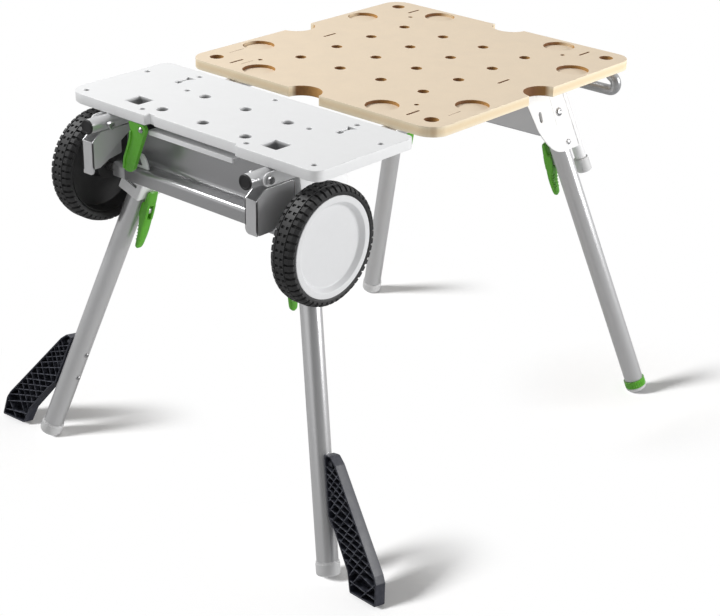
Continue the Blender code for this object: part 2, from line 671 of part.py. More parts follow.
def build_front_beam(root):
    beam = add("front_beam", sheet_xz(beam_profile(), -BEAM_HALF_WIDTH, BEAM_HALF_WIDTH), GREY, root)
    near, low = BEAM_WEB_X - BEAM_ROUND, TOP_HEIGHT - BEAM_LOW_DROP
    clear = []
    for s, _ in SIDES:
        span = sorted((s * (RAIL_Y - BEAM_WEB_SHORT), s * (BEAM_HALF_WIDTH + CUT_OVER)))
        clear.append(box(near, BEAM_WEB_X + CUT_OVER, *span, low, TOP_HEIGHT))
    boolean(beam, merge(*clear))
    build_ledge(root)


def build_ledge(root):
    """Small folded ledge under the machine plate, hooked down at both edges."""
    top = TOP_HEIGHT - LEDGE_DROP
    low, hooked = top - LEDGE_LIP, top - SHEET - SHEET
    near, far = PLATE_NEAR_X + LEDGE_INSET, BEAM_WEB_X - SHEET - SEAT_GAP
    hook = [(near, low), (near, top), (far, top), (far, hooked), (far - SHEET, hooked)]
    hook += [(far - SHEET, top - SHEET), (near + SHEET, top - SHEET), (near + SHEET, low)]
    add("plate_ledge", sheet_xz(hook, -LEDGE_HALF, LEDGE_HALF), PALE, root)


def build_wheel_brackets(root):
    """Folded sheet under each rail: front flange, three-cornered inner cheek and arched outer cheek."""
    near = PLATE_NEAR_X - WHEEL_BRACKET_PAST_PLATE
    top, low = TOP_HEIGHT - WHEEL_BRACKET_DROP, TOP_HEIGHT - WHEEL_BRACKET_LOW_DROP
    seat = RAIL_Z - RAIL_RADIUS - SEAT_GAP
    edge, slope = BEAM_WEB_X - SHEET - BEAM_ROUND, near + 8 * SHEET
    inner = [(near, low + 4 * SHEET), (near, top), (slope, seat), (edge, seat), (edge, top + SHEET)]
    cut_back, lift = BEAM_NOSE_X - SHEET, BEAM_SHELF_Z + SHEET
    outer = [(near, low + 2 * SHEET), (near, top), (slope, seat), (edge, seat), (edge, lift + 2 * SHEET)]
    outer += [(cut_back, lift), (cut_back - 8 * SHEET, low), (near + 2 * SHEET, low)]
    inside, outside = RAIL_Y - WHEEL_BRACKET_INNER, RAIL_Y + WHEEL_BRACKET_OUTER
    flange = [(inside, low + 3 * SHEET), (inside + SHEET, low + SHEET), (inside + 3 * SHEET, low)]
    flange += [(outside, low), (outside, top), (inside, top)]
    for s, word in SIDES:
        outer_span = sorted((s * (outside - SHEET), s * outside))
        body = add(f"wheel_bracket_{word}", sheet_xz(outer, *outer_span), PALE, root)
        inner_span = sorted((s * inside, s * (inside + SHEET)))
        boolean(body, sheet_xz(inner, *inner_span), "UNION", "inner")
        front = sheet_yz([(s * y, z) for y, z in flange], near, near + SHEET)
        boolean(body, front, "UNION", "flange")


def wheel_profile(mid, web):
    """Closed loop of the moulded wheel: inner boss, web, rim and tyre, from the bore round to the bore."""
    bore, core, rim = AXLE_RADIUS + RUN_GAP, HUB_CORE_RADIUS, RIM_RADIUS
    boss, back = HUB_INSET - mid, web - WEB_THICK
    loop = [(bore, boss), (core, boss), (core + WHEEL_DRAFT, back), (rim - RIM_WALL, back)]
    loop += [(rim - RIM_LIP, RIM_INSET - mid)]
    half = [(WHEEL_RADIUS - TREAD_SIDE, mid), (WHEEL_RADIUS - TREAD_BEND, mid - TREAD_BEND_INSET)]
    half += [(WHEEL_RADIUS, mid - TREAD_INSET)]
    loop += [(r, -h) for r, h in half] + half[::-1]
    return loop + [(rim, mid - RIM_INSET), (rim, web), (bore, web)]


def cap_profile(face, dish):
    """Closed outline of the dished cap, from the axis inside to the axis outside."""
    edge, lip = CAP_RADIUS, face - CAP_SKIRT
    profile = [(0.0, dish - CAP_WALL), (DISH_RADIUS + DISH_DRAFT, dish - CAP_WALL)]
    profile += [(DISH_RADIUS + DISH_RISE + DISH_DRAFT, face - CAP_WALL), (edge - CAP_WALL, face - CAP_WALL)]
    profile += [(edge - CAP_WALL, lip), (edge, lip), (edge, face - CAP_BREAK), (edge - CAP_BREAK, face)]
    return profile + [(DISH_RADIUS + DISH_RISE, face), (DISH_RADIUS - DISH_DRAFT, dish), (0.0, dish)]


def build_wheels(root):
    """Axle with a moulded wheel at each end and a dished cap in the wheel's outer side."""
    mid = WHEEL_WIDTH / 2.0
    face = mid - CAP_INSET
    dish = face - DISH_DEPTH
    end_at = dish - CAP_WALL - SHEET
    web = end_at - RIM_INSET - SEAT_GAP
    end = WHEEL_OUT_Y - mid + end_at
    axle = lathe([(0.0, -end), (AXLE_RADIUS, -end), (AXLE_RADIUS, end), (0.0, end)], 14)
    add("axle", placed(turned(axle, ALONG_Y), AXLE_X, 0.0, AXLE_Z), STEEL, root)
    for s, word in SIDES:
        spot = Matrix.Translation((AXLE_X, s * (WHEEL_OUT_Y - mid), AXLE_Z))
        holder = empty(f"wheel_axis_{word}", spot, root)
        face_out = Matrix.Rotation(math.radians(-90.0 * s), 4, "X")
        body = turned(lathe(wheel_profile(mid, web), 32, closed=True), face_out)
        add(f"wheel_{word}", body, BLACK, holder)
        add(f"wheel_cap_{word}", turned(lathe(cap_profile(face, dish), 32), face_out), PALE, holder)


class Leg:
    """Axes of one leg and its bracket. far is 1 at the handle end, -1 at the wheel end; s is the side."""

    def __init__(self, far, s, word):
        self.far, self.s, self.word = far, s, word
        self.x = LEG_FAR_X if far > 0 else LEG_NEAR_X
        self.slope = -RAKE_FAR_SHARE if far > 0 else RAKE_NEAR_SHARE
        self.pivot_z = BRACKET_Z if far > 0 else PIVOT_NEAR_Z
        self.up = Vector((self.slope, -s * SPLAY_SHARE, 1.0)).normalized()
        self.out = Vector((0.0, s, SPLAY_SHARE)).normalized()
        self.away = far * s  # local X of both frames times this points away from the middle of the stand
        self.along_pivot = self.pivot_z / self.up.z
        self.levelling = far > 0 and s < 0

    def point(self, z):
        rise = z - BRACKET_Z
        return Vector((self.x + self.slope * rise, self.s * (LEG_Y - SPLAY_SHARE * rise), z))

    def frame(self, origin, up):
        """Local Z is up, local Y faces outward across the stand."""
        rows = Matrix((self.out.cross(up), self.out, up)).transposed().to_4x4()
        return Matrix.Translation(origin) @ rows

    def leg_frame(self):
        return self.frame(self.point(self.pivot_z), self.up)

    def bracket_frame(self):
        upright = Vector((0.0, -self.s * SPLAY_SHARE, 1.0)).normalized()
        return self.frame(self.point(BRACKET_Z), upright)

    def in_bracket(self, z):
        """Local X and Z, in the bracket's frame, of the axis point at a height."""
        local = self.bracket_frame().inverted() @ self.point(z)
        return local.x, local.z

    def along(self, distance):
        """Shift from the pivot to a place on the axis, given by its distance from the floor."""
        return Matrix.Translation((0.0, 0.0, distance - self.along_pivot))


# Slope and place of the web of every bracket, in the plane of its cheeks
LEAN_SHARE = RAKE_FAR_SHARE * math.cos(math.atan(SPLAY_SHARE))
WEB_EDGE = WEB_OFFSET * math.sqrt(1.0 + LEAN_SHARE**2)


def web_x(z):
    return WEB_EDGE - LEAN_SHARE * z


def cheek_z(share):
    return share * (CHEEK_TOP if share > 0.0 else CHEEK_DEPTH)


def cheek_points(shares):
    return [(-x * CHEEK_REACH, cheek_z(z)) for x, z in shares]


def cheek_outline(leg, inner):
    """Bracket cheek in local X and Z."""
    low, slot_z = -CHEEK_DEPTH, cheek_z(WEB_SLOT_SHARE)
    outline = [(web_x(CHEEK_TOP), CHEEK_TOP), (web_x(low), low + CHEEK_BREAK), (web_x(low) - CHEEK_FOOT, low)]
    if inner and leg.far > 0:
        outline += [(web_x(slot_z) - CHEEK_INSET, slot_z)] + cheek_points(INNER_FAR_SHARES)
    elif inner:
        outline += cheek_points(INNER_NEAR_SHARES)
    else:
        outline += cheek_points(BELLY_SHARES + NEAR_EDGE_SHARES)
    return [(x * leg.away, z) for x, z in outline]


def build_bracket(root, leg):
    """Channel of sheet: two cheeks beside the leg and a web on the side away from the middle."""
    holder = empty(f"bracket_frame_{leg.word}", leg.bracket_frame(), root)
    thick = CHEEK_THICK
    out0, out1 = CHEEK_INSIDE, CHEEK_INSIDE + thick
    body = add(f"leg_bracket_{leg.word}", sheet_xz(cheek_outline(leg, False), out0, out1), PALE, holder)
    boolean(body, sheet_xz(cheek_outline(leg, True), -out1, -out0), "UNION", "inner")
    low = CHEEK_BREAK - CHEEK_DEPTH
    web = [(web_x(CHEEK_TOP), CHEEK_TOP), (web_x(low), low), (web_x(low) - thick, low)]
    web = [(x * leg.away, z) for x, z in web + [(web_x(CHEEK_TOP) - thick, CHEEK_TOP)]]
    boolean(body, sheet_xz(web, -out0 - thick / 2.0, out0 + thick / 2.0), "UNION", "web")
    px, pz = leg.in_bracket(leg.pivot_z)
    reach = out1 + SEAT_GAP
    pin_hole = turned(disc(PIN_RADIUS + RUN_GAP, -reach - thick, reach + thick, 8), ALONG_Y)
    holes = [placed(pin_hole, px, 0.0, pz)]
    (sx, sz), = cheek_points(CHEEK_SLOT_SHARES)
    sx *= leg.away
    slot = arc(sx, sz + CHEEK_SLOT_HALF, CHEEK_SLOT_RADIUS, 0.0, 180.0, 4)
    slot += arc(sx, sz - CHEEK_SLOT_HALF, CHEEK_SLOT_RADIUS, 180.0, 360.0, 4)
    holes.append(sheet_xz(slot, out0 - thick, out1 + thick))
    slot_z = cheek_z(WEB_SLOT_SHARE)
    middle = web_x(slot_z)
    span = sorted(((middle - 3 * thick) * leg.away, (middle + thick) * leg.away))
    wide, deep = WEB_SLOT_HALF_WIDTH, WEB_SLOT_HALF_DEPTH
    holes.append(box(*span, -wide, wide, slot_z - deep, slot_z + deep))
    if leg.far > 0:
        lx, lz = leg.in_bracket(leg.pivot_z - LOCK_BELOW_PIVOT)
        lock_hole = turned(disc(LOCK_RADIUS + RUN_GAP, out0 - thick, out1 + thick, 8), ALONG_Y)
        holes.append(placed(lock_hole, lx, 0.0, lz))
        build_lock_bolt(holder, leg, lx, lz, reach)
    boolean(body, merge(*holes))
    boolean(body, rail_seat(leg), "DIFFERENCE", "rail_seat")
    build_pivot_pin(holder, leg, px, pz, reach)
    if leg.far > 0:
        build_parking_foot(holder, leg, body)


def rail_seat(leg):
    """The rail with its gap all round, as a cutter in the bracket's frame."""
    rail = disc(RAIL_RADIUS + SEAT_GAP, RAIL_NEAR_X, RAIL_FAR_X + CUT_OVER, 16)
    rail = placed(turned(rail, ALONG_X), y=leg.s * RAIL_Y, z=RAIL_Z)
    return turned(rail, leg.bracket_frame().inverted())


def build_pivot_pin(holder, leg, px, pz, reach):
    """Riveted pin with a domed head on both sides."""
    head = [(PIN_HEAD_RADIUS * r, reach + PIN_HEAD * h) for r, h in PIN_DOME_SHARES] + [(PIN_RADIUS, reach)]
    profile = head + [(r, -h) for r, h in head[::-1]]
    add(f"pivot_pin_{leg.word}", placed(turned(lathe(profile, 8), ALONG_Y), px, 0.0, pz), STEEL, holder)


def build_lock_bolt(holder, leg, lx, lz, reach):
    """Small bolt that ends in a domed head on the outer cheek."""
    stem = CHEEK_INSIDE - RUN_GAP
    profile = [(0.0, stem), (LOCK_RADIUS, stem), (LOCK_RADIUS, reach)]
    profile += [(LOCK_HEAD_RADIUS * r, reach + LOCK_HEAD * h) for r, h in LOCK_DOME_SHARES]
    add(f"lock_bolt_{leg.word}", placed(turned(lathe(profile, 8), ALONG_Y), lx, 0.0, lz), STEEL, holder)


def build_parking_foot(holder, leg, bracket):
    """Post beside the bracket, parallel with the leg, with a cap that carries the folded stand."""
    stretch = math.sqrt(1.0 + LEAN_SHARE**2)
    turn = Matrix.Rotation(math.atan(LEAN_SHARE) * -leg.away, 4, "Y")
    place = Matrix.Translation((POST_OFFSET * stretch * leg.away, 0.0, 0.0)) @ turn
    frame = leg.bracket_frame() @ place
    tilt = math.acos((frame.to_3x3() @ Vector((0.0, 0.0, 1.0))).z)
    r, rr = PARK_CAP_RADIUS, PARK_ROUND
    drop = (rr + (r - rr) * math.sin(tilt)) / math.cos(tilt) - rr
    bottom = (TOP_HEIGHT - PARK_DROP - frame.translation.z) / math.cos(tilt) + drop
    cap_top, floor, bend = bottom + PARK_CAP_LENGTH, bottom + 2 * rr, rr * PARK_BREAK_SHARE
    sleeve = POST_RADIUS + RUN_GAP
    cap = [(0.0, bottom), (r - rr, bottom), (r - bend, bottom + bend), (r, bottom + rr)]
    cap += [(r - PARK_DRAFT, cap_top), (sleeve, cap_top), (sleeve, floor), (0.0, floor)]
    add(f"parking_cap_{leg.word}", turned(lathe(cap, 12), place), PALE, holder)
    wall, low = POST_RADIUS - POST_WALL, floor + SEAT_GAP
    tube = [(POST_RADIUS, low), (POST_RADIUS, POST_TOP), (wall, POST_TOP), (wall, low)]
    add(f"parking_post_{leg.word}", turned(lathe(tube, 12, closed=True), place), PALE, holder)
    for k, z in enumerate(cheek_z(share) for share in TAB_SHARES):
        ends = (web_x(z) - CHEEK_THICK, POST_OFFSET * stretch - LEAN_SHARE * z)
        span = sorted(x * leg.away for x in ends)
        tab = box(*span, -TAB_HALF_WIDTH, TAB_HALF_WIDTH, z - TAB_HALF_LENGTH, z + TAB_HALF_LENGTH)
        boolean(bracket, tab, "UNION", f"tab_{k}")
    clear = disc(POST_RADIUS + SEAT_GAP, -BRACKET_Z, BRACKET_Z, 12)
    boolean(bracket, turned(clear, place), "DIFFERENCE", "post_seat")


def build_leg(root, leg):
    """Leg tube with its lever lug and cross holes, and the foot on its lower end."""
    holder = empty(f"leg_axis_{leg.word}", leg.leg_frame(), root)
    floor = build_foot(holder, leg)
    inner = LEG_RADIUS - LEG_WALL
    low, top = floor + SEAT_GAP, leg.along_pivot + LEG_ABOVE_PIVOT
    loop = [(LEG_RADIUS, low), (LEG_RADIUS, top), (inner, top), (inner, low)]
    body = add(f"leg_tube_{leg.word}", turned(lathe(loop, 16, closed=True), leg.along(0.0)), PALE, holder)
    build_lug(body, leg)
    cuts = [turned(disc(PIN_RADIUS + RUN_GAP, -CHEEK_INSIDE, CHEEK_INSIDE, 8), ALONG_Y)]
    if leg.far < 0:
        for place in (SKID_SCREW_UPPER_Z, SKID_SCREW_LOWER_Z):
            hole = turned(disc(SKID_SCREW_RADIUS + RUN_GAP, -CHEEK_INSIDE, CHEEK_INSIDE, 6), ALONG_Y)
            cuts.append(turned(hole, leg.along(place)))
    boolean(body, merge(*cuts))


def build_foot(holder, leg):
    """Foot turned about the leg axis, its rounded rim on the floor. Returns where the tube may begin."""
    tilt, r = math.acos(leg.up.z), FOOT_ROUND
    low = (r + (FOOT_RADIUS - r) * math.sin(tilt)) / math.cos(tilt) - r
    touch = math.degrees(tilt) - 90.0
    rim = [(0.0, low), (FOOT_RADIUS - r, low)] + arc(FOOT_RADIUS - r, low + r, r, touch, 0.0, 2)
    sleeve = LEG_RADIUS + SEAT_GAP
    if leg.levelling:
        floor = low + SOLE_THICK
        stem, top = LEG_RADIUS - LEG_WALL - RUN_GAP, floor + STEM_LENGTH
        foot = rim + [(FOOT_RADIUS, floor), (stem, floor), (stem, top), (0.0, top)]
        ring = fluted_ring(floor + SEAT_GAP, floor + SEAT_GAP + RING_LENGTH, sleeve)
        add("levelling_ring", turned(ring, leg.along(0.0)), GREEN, holder)
    else:
        floor, top = low + FOOT_ROUND, low + FOOT_LENGTH
        foot = rim + [(FOOT_RADIUS, top - FOOT_DRAFT), (FOOT_RADIUS - FOOT_DRAFT, top), (sleeve, top)]
        foot += [(sleeve, floor), (0.0, floor)]
    add(f"foot_{leg.word}", turned(lathe(foot, 16), leg.along(0.0)), PALE, holder)
    return floor


def fluted_ring(low, high, sleeve):
    """Gripped ring: a turned collar with shallow flutes round it."""
    r, flutes = FOOT_RADIUS + RING_OUTSET, 12
    bm = bmesh.new()
    rings = []
    for radius, height in ((sleeve, low), (r, low), (r, high), (sleeve, high)):
        ring = []
        for i in range(2 * flutes):
            turn = math.pi * i / flutes
            here = radius - FLUTE_DEPTH * (i % 2) if radius == r else radius
            ring.append(bm.verts.new((here * math.cos(turn), here * math.sin(turn), height)))
        rings.append(ring)
    for first, second in zip(rings, rings[1:] + rings[:1]):
        for i in range(2 * flutes):
            j = (i + 1) % (2 * flutes)
            bm.faces.new((first[i], first[j], second[j], second[i]))
    return bm


def build_lug(body, leg):
    """Lug on the inboard side of the tube that the lever turns on."""
    root_y, half = LEG_WALL / 2.0 - LEG_RADIUS, LUG_ROUND + LUG_FLARE
    outline = arc(-LEVER_OUT, 0.0, LUG_ROUND, 90.0, 270.0, 6) + [(root_y, -half), (root_y, half)]
    lug = turned(sheet_yz(outline, -LUG_HALF, LUG_HALF), leg.along(LEVER_ALONG))
    boolean(body, lug, "UNION", "lug")
    hole = placed(turned(disc(LEVER_PIN_RADIUS + RUN_GAP, -LEG_RADIUS, LEG_RADIUS, 8), ALONG_X), y=-LEVER_OUT)
    boolean(body, turned(hole, leg.along(LEVER_ALONG)), "DIFFERENCE", "eye")


def build_lever(leg):
    """Release lever, forked over the lug: it thins toward its lower end and is ribbed on the tube side."""
    place = leg.along(LEVER_ALONG) @ Matrix.Translation((0.0, -LEVER_OUT, 0.0))
    holder = empty(f"lever_axis_{leg.word}", place, bpy.data.objects[f"leg_axis_{leg.word}"])
    half = LEVER_WIDTH / 2.0
    shares = LEVER_FRONT_SHARES + LEVER_END_SHARES + LEVER_BACK_SHARES + LEVER_HEAD_SHARES
    outline = sized(shares, LEVER_DEPTH, LEVER_REACH)
    body = add(f"leg_lever_{leg.word}", sheet_yz(outline, -half, half, LEVER_EDGE), GREEN, holder)
    tip, past, grip = half * LEVER_TIP_SHARE, half + CUT_OVER, -LEVER_REACH * LEVER_GRIP_SHARE
    end = tip - LEVER_REACH - LEVER_EDGE
    front = [(-past, LEVER_REACH), (past, LEVER_REACH), (past, grip)]
    front += arc(0.0, end, tip, 0.0, -180.0, 7) + [(-past, grip)]
    boolean(body, sheet_xz(front, -LEVER_OUT, LEVER_OUT), "INTERSECT", "taper")
    side = LUG_HALF + RUN_GAP
    cuts = [box(-side, side, -LEVER_OUT, LEVER_OUT, -FORK_HALF, FORK_HALF)]
    for i in range(5):
        top = LEVER_POCKET_TOP - LEVER_POCKET_PITCH * i
        wide, floor = half - LEVER_WALL - LEVER_POCKET_DRIFT * i, LEVER_POCKET_FLOOR - LEVER_POCKET_DRIFT * i
        cuts.append(box(-wide, wide, floor, LEVER_POCKET_MOUTH, top - LEVER_POCKET_LENGTH, top))
    boolean(body, merge(*cuts))
    pin = half - LEVER_PIN_INSET
    boolean(body, turned(disc(LEVER_PIN_RADIUS, -pin, pin, 8), ALONG_X), "UNION", "pin")


def inset(outline, by):
    """The outline moved inward by a wall thickness, for a clockwise list."""
    moved = []
    count = len(outline)
    for i, here in enumerate(outline):
        here = Vector(here)
        before = (here - Vector(outline[i - 1])).normalized()
        after = (Vector(outline[(i + 1) % count]) - here).normalized()
        normal = Vector((before.y + after.y, -before.x - after.x))
        moved.append(tuple(here + normal * (by / (1.0 + before.dot(after)))))
    return moved


def build_skid(leg):
    """Open ribbed skid beside the foot: a wall all round, a back sheet, ribs between and two screw bosses."""
    holder = bpy.data.objects[f"leg_axis_{leg.word}"]
    shift, front = leg.along(0.0), leg.away
    outline = sized(SKID_OUTER_SHARES + SKID_INNER_SHARES, SKID_REACH, SKID_LENGTH)
    slab = turned(sheet_yz(outline, -SKID_HALF, SKID_HALF, SKID_EDGE), shift)
    body = add(f"skid_{leg.word}", slab, SLATE, holder)
    span = sorted(((SKID_WALL - SKID_HALF) * front, (SKID_HALF + SKID_WALL) * front))
    boolean(body, turned(sheet_yz(inset(outline, SKID_WALL), *span), shift), "DIFFERENCE", "hollow")
    rib_span = sorted(((SKID_WALL / 2.0 - SKID_HALF) * front, (SKID_HALF - RIB_SET) * front))
    outer = [Vector(p) for p in sized(RIB_OUTER_SHARES, SKID_REACH, SKID_LENGTH)]
    inner = [Vector(p) for p in sized(RIB_INNER_SHARES, SKID_REACH, SKID_LENGTH)]
    for i in range(7):
        share = i / 6.0
        low = inner[0].lerp(inner[1], min(1.0, share + RIB_SLANT_SHARE))
        rib = bar_between(outer[0].lerp(outer[1], share), low, SKID_WALL * RIB_SHARE, RIB_SET)
        boolean(body, turned(sheet_yz(rib, *rib_span), shift), "UNION", f"rib_{i}")
    seat = disc(LEG_RADIUS + SEAT_GAP, -leg.along_pivot - LEG_RADIUS, leg.along_pivot, 16)
    places = (("high", SKID_SCREW_UPPER_Z), ("low", SKID_SCREW_LOWER_Z))
    holes = []
    for word, distance in places:
        boss = turned(disc(SKID_BOSS_RADIUS, LEG_RADIUS - LEG_WALL, SKID_BOSS_TIP, 8), ALONG_Y)
        boolean(body, turned(boss, leg.along(distance)), "UNION", f"boss_{word}")
        deep = SKID_SCREW_TIP + RUN_GAP
        hole = turned(disc(SKID_SCREW_RADIUS + RUN_GAP, LEG_RADIUS - LEG_WALL, deep, 6), ALONG_Y)
        holes.append(turned(hole, leg.along(distance)))
        add(f"skid_screw_{leg.word}_{word}", turned(skid_screw(), leg.along(distance)), STEEL, holder)
    boolean(body, seat, "DIFFERENCE", "seat")
    boolean(body, merge(*holes), "DIFFERENCE", "screw_holes")


def skid_screw():
    """Screw from the inboard side of the tube, through it and into the skid's boss."""
    start = -LEG_RADIUS - SEAT_GAP
    head, r = SKID_SCREW_HEAD_RADIUS, SKID_SCREW_RADIUS
    profile = [(0.0, start - SKID_SCREW_HEAD), (head * SKID_SCREW_FACE_SHARE, start - SKID_SCREW_HEAD)]
    profile += [(head, start - SKID_SCREW_EDGE), (head, start), (r, start)]
    profile += [(r, SKID_SCREW_TIP), (0.0, SKID_SCREW_TIP)]
    return turned(lathe(profile, 6), ALONG_Y)


def bar_between(a, b, half, extra):
    """Thin bar outline from a to b, run on a little at both ends."""
    ahead = (b - a).normalized()
    side = Vector((-ahead.y, ahead.x)) * half
    a, b = a - ahead * extra, b + ahead * extra
    return [tuple(a + side), tuple(b + side), tuple(b - side), tuple(a - side)]


def bracket_block(leg):
    """Everything outside the plane of a bracket's inner cheek, as a cutter in the stand's frame."""
    inside = CHEEK_INSIDE + CHEEK_THICK + SEAT_GAP
    block = box(-BOARD_HALF, BOARD_HALF, -inside, BOARD_HALF, -BOARD_HALF, BOARD_HALF)
    return turned(block, leg.bracket_frame())


def build_rear(root, legs):
    """Cross beam between the handle-end brackets and a brace from each rail to its bracket."""
    x = BOARD_HALF - REAR_BEAM_INSET
    top, low, end = TOP_HEIGHT - REAR_BEAM_DROP, TOP_HEIGHT - REAR_BEAM_LOW_DROP, x + REAR_BEAM_DEPTH
    hat = [(x, low), (x, top), (end, top), (end, low), (end - SHEET, low)]
    hat += [(end - SHEET, top - SHEET), (x + SHEET, top - SHEET), (x + SHEET, low)]
    beam = add("rear_beam", sheet_xz(hat, -RAIL_Y, RAIL_Y), GREY, root)
    edge = cheek_points(NEAR_EDGE_SHARES[::-1])
    strip = [(-BRACE_REACH, CHEEK_TOP)] + [(x - BRACE_GAP, z) for x, z in edge]
    strip += cheek_points(BRACE_FOOT_SHARES)
    for leg in legs:
        boolean(beam, bracket_block(leg), "DIFFERENCE", f"end_{leg.word}")
        side = "left" if leg.s > 0 else "right"
        outline = [(x * leg.away, z) for x, z in strip]
        plate = sheet_xz(outline, CHEEK_INSIDE, CHEEK_INSIDE + CHEEK_THICK)
        body = add(f"side_brace_{side}", plate, GREY, bpy.data.objects[f"bracket_frame_{leg.word}"])
        boolean(body, rail_seat(leg), "DIFFERENCE", "rail_seat")


def build_handle(root):
    """Bent bar whose arms slide in the rails and whose grip hangs lower and wider than they do."""
    holder = empty("handle_slide", Matrix.Translation((HANDLE_BAR_X, 0.0, HANDLE_BAR_Z)), root)
    arm = [(RAIL_FAR_X - HANDLE_IN_RAIL, RAIL_Y, RAIL_Z), (RAIL_FAR_X + HANDLE_PAST_RAIL, RAIL_Y, RAIL_Z)]
    arm.append((HANDLE_BAR_X, HANDLE_HALF, HANDLE_BAR_Z))
    path = arm + [(x, -y, h) for x, y, h in arm[::-1]]
    bends = (HANDLE_BEND, HANDLE_HAIRPIN, HANDLE_HAIRPIN, HANDLE_BEND)
    bar = sweep(path, HANDLE_RADIUS, 12, bends, 4)
    add("pull_handle", placed(bar, -HANDLE_BAR_X, 0.0, -HANDLE_BAR_Z), GREY, holder)


def build_latch(root):
    """Tapered lever on a cross bolt under the machine plate, with a rim down one side."""
    holder = empty("latch_axis", Matrix.Translation((LATCH_X, LATCH_Y, LATCH_Z)), root)
    half = LATCH_THICK / 2.0
    outline = [(LATCH_SIDE * LATCH_SHOULDER_SHARE, LATCH_HEAD)] + arc(0.0, 0.0, LATCH_HEAD, 90.0, 195.0, 6)
    outline += sized(LATCH_TIP_SHARES + LATCH_SIDE_SHARES, LATCH_SIDE, LATCH_REACH)
    body = add("latch_lever", sheet_yz(outline, -half, half, LATCH_EDGE), GREEN, holder)
    rim = sheet_yz(sized(LATCH_RIM_SHARES, LATCH_SIDE, LATCH_REACH), -half - LATCH_RIM_RISE, 0.0)
    boolean(body, rim, "UNION", "rim")
    boolean(body, turned(disc(LATCH_BOLT_RADIUS + RUN_GAP, -LATCH_THICK, LATCH_THICK, 10), ALONG_X))
    build_latch_bolt(root, half)
    start, shelf = LATCH_Y + KEEPER_OFFSET, BEAM_SHELF_Z + SEAT_GAP
    spots = [(start + y, shelf + z) for y, z in sized(KEEPER_SHARES, KEEPER_LENGTH, KEEPER_HEIGHT)]
    keeper = placed(sheet_yz(spots, 0.0, SHEET), BEAM_NOSE_X + BEAM_ROUND + KEEPER_SET)
    add("latch_keeper", keeper, PALE, root)


def build_latch_bolt(root, half):
    """Bolt that the latch lever turns on, and the bush that holds it off the beam."""
    start, back = half + SEAT_GAP, BEAM_WEB_X - SHEET - SEAT_GAP - LATCH_X
    front, r = -start, LATCH_BOLT_RADIUS
    face, head = LATCH_BOLT_FACE_RADIUS, LATCH_BOLT_HEAD_RADIUS
    bolt = [(0.0, front - LATCH_BOLT_HEAD), (face, front - LATCH_BOLT_HEAD), (head, front - LATCH_BOLT_EDGE)]
    bolt += [(head, front), (r, front), (r, back), (0.0, back)]
    add("latch_bolt", placed(turned(lathe(bolt, 8), ALONG_X), LATCH_X, LATCH_Y, LATCH_Z), STEEL, root)
    loop = [(BUSH_RADIUS, start), (BUSH_RADIUS, back), (r + SEAT_GAP, back), (r + SEAT_GAP, start)]
    bush = turned(lathe(loop, 8, closed=True), ALONG_X)
    add("latch_bush", placed(bush, LATCH_X, LATCH_Y, LATCH_Z), BLACK, root)


def centre_on_floor(root):
    """Moves the stand so that the middle of its bounding box stands over the origin."""
    bpy.context.view_layer.update()
    graph = bpy.context.evaluated_depsgraph_get()
    low = Vector((math.inf, math.inf, math.inf))
    high = -low
    for obj in bpy.data.objects:
        if obj.type != "MESH" or obj.hide_render:
            continue
        shape = obj.evaluated_get(graph)
        mesh = shape.to_mesh()
        for vertex in mesh.vertices:
            spot = shape.matrix_world @ vertex.co
            low = Vector(map(min, low, spot))
            high = Vector(map(max, high, spot))
        shape.to_mesh_clear()
    root.location = (-(low.x + high.x) / 2.0, -(low.y + high.y) / 2.0, -low.z)


def main():
    clear_scene()
    root = empty("stand", Matrix.Identity(4))
    build_board(root)
    build_machine_plate(root)
    build_rails(root)
    build_front_beam(root)
    build_wheel_brackets(root)
    build_wheels(root)
    build_handle(root)
    build_latch(root)
    rear_legs = []
    for far, end in ((-1.0, "wheel"), (1.0, "handle")):
        for s, side in SIDES:
            leg = Leg(far, s, f"{end}_{side}")
            build_bracket(root, leg)
            build_leg(root, leg)
            build_lever(leg)
            if far < 0:
                build_skid(leg)
            else:
                rear_legs.append(leg)
    build_rear(root, rear_legs)
    centre_on_floor(root)


main()
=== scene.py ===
"""Looks of a folding wheeled stand for a table saw.

Lengths are in metres, in the stand's own frame: X along the rails toward the pull handle, Y across, Z up, with
the middle of the perforated board over X = Y = 0 and the floor at Z = 0. One matrix sets that frame in place.
"""

import json
import logging
import math
from dataclasses import dataclass
from enum import Enum
from functools import reduce
from typing import Callable, Sequence

import bmesh
import bpy
import numpy as np
from mathutils import Euler, Matrix, Vector
from mathutils.geometry import delaunay_2d_cdt

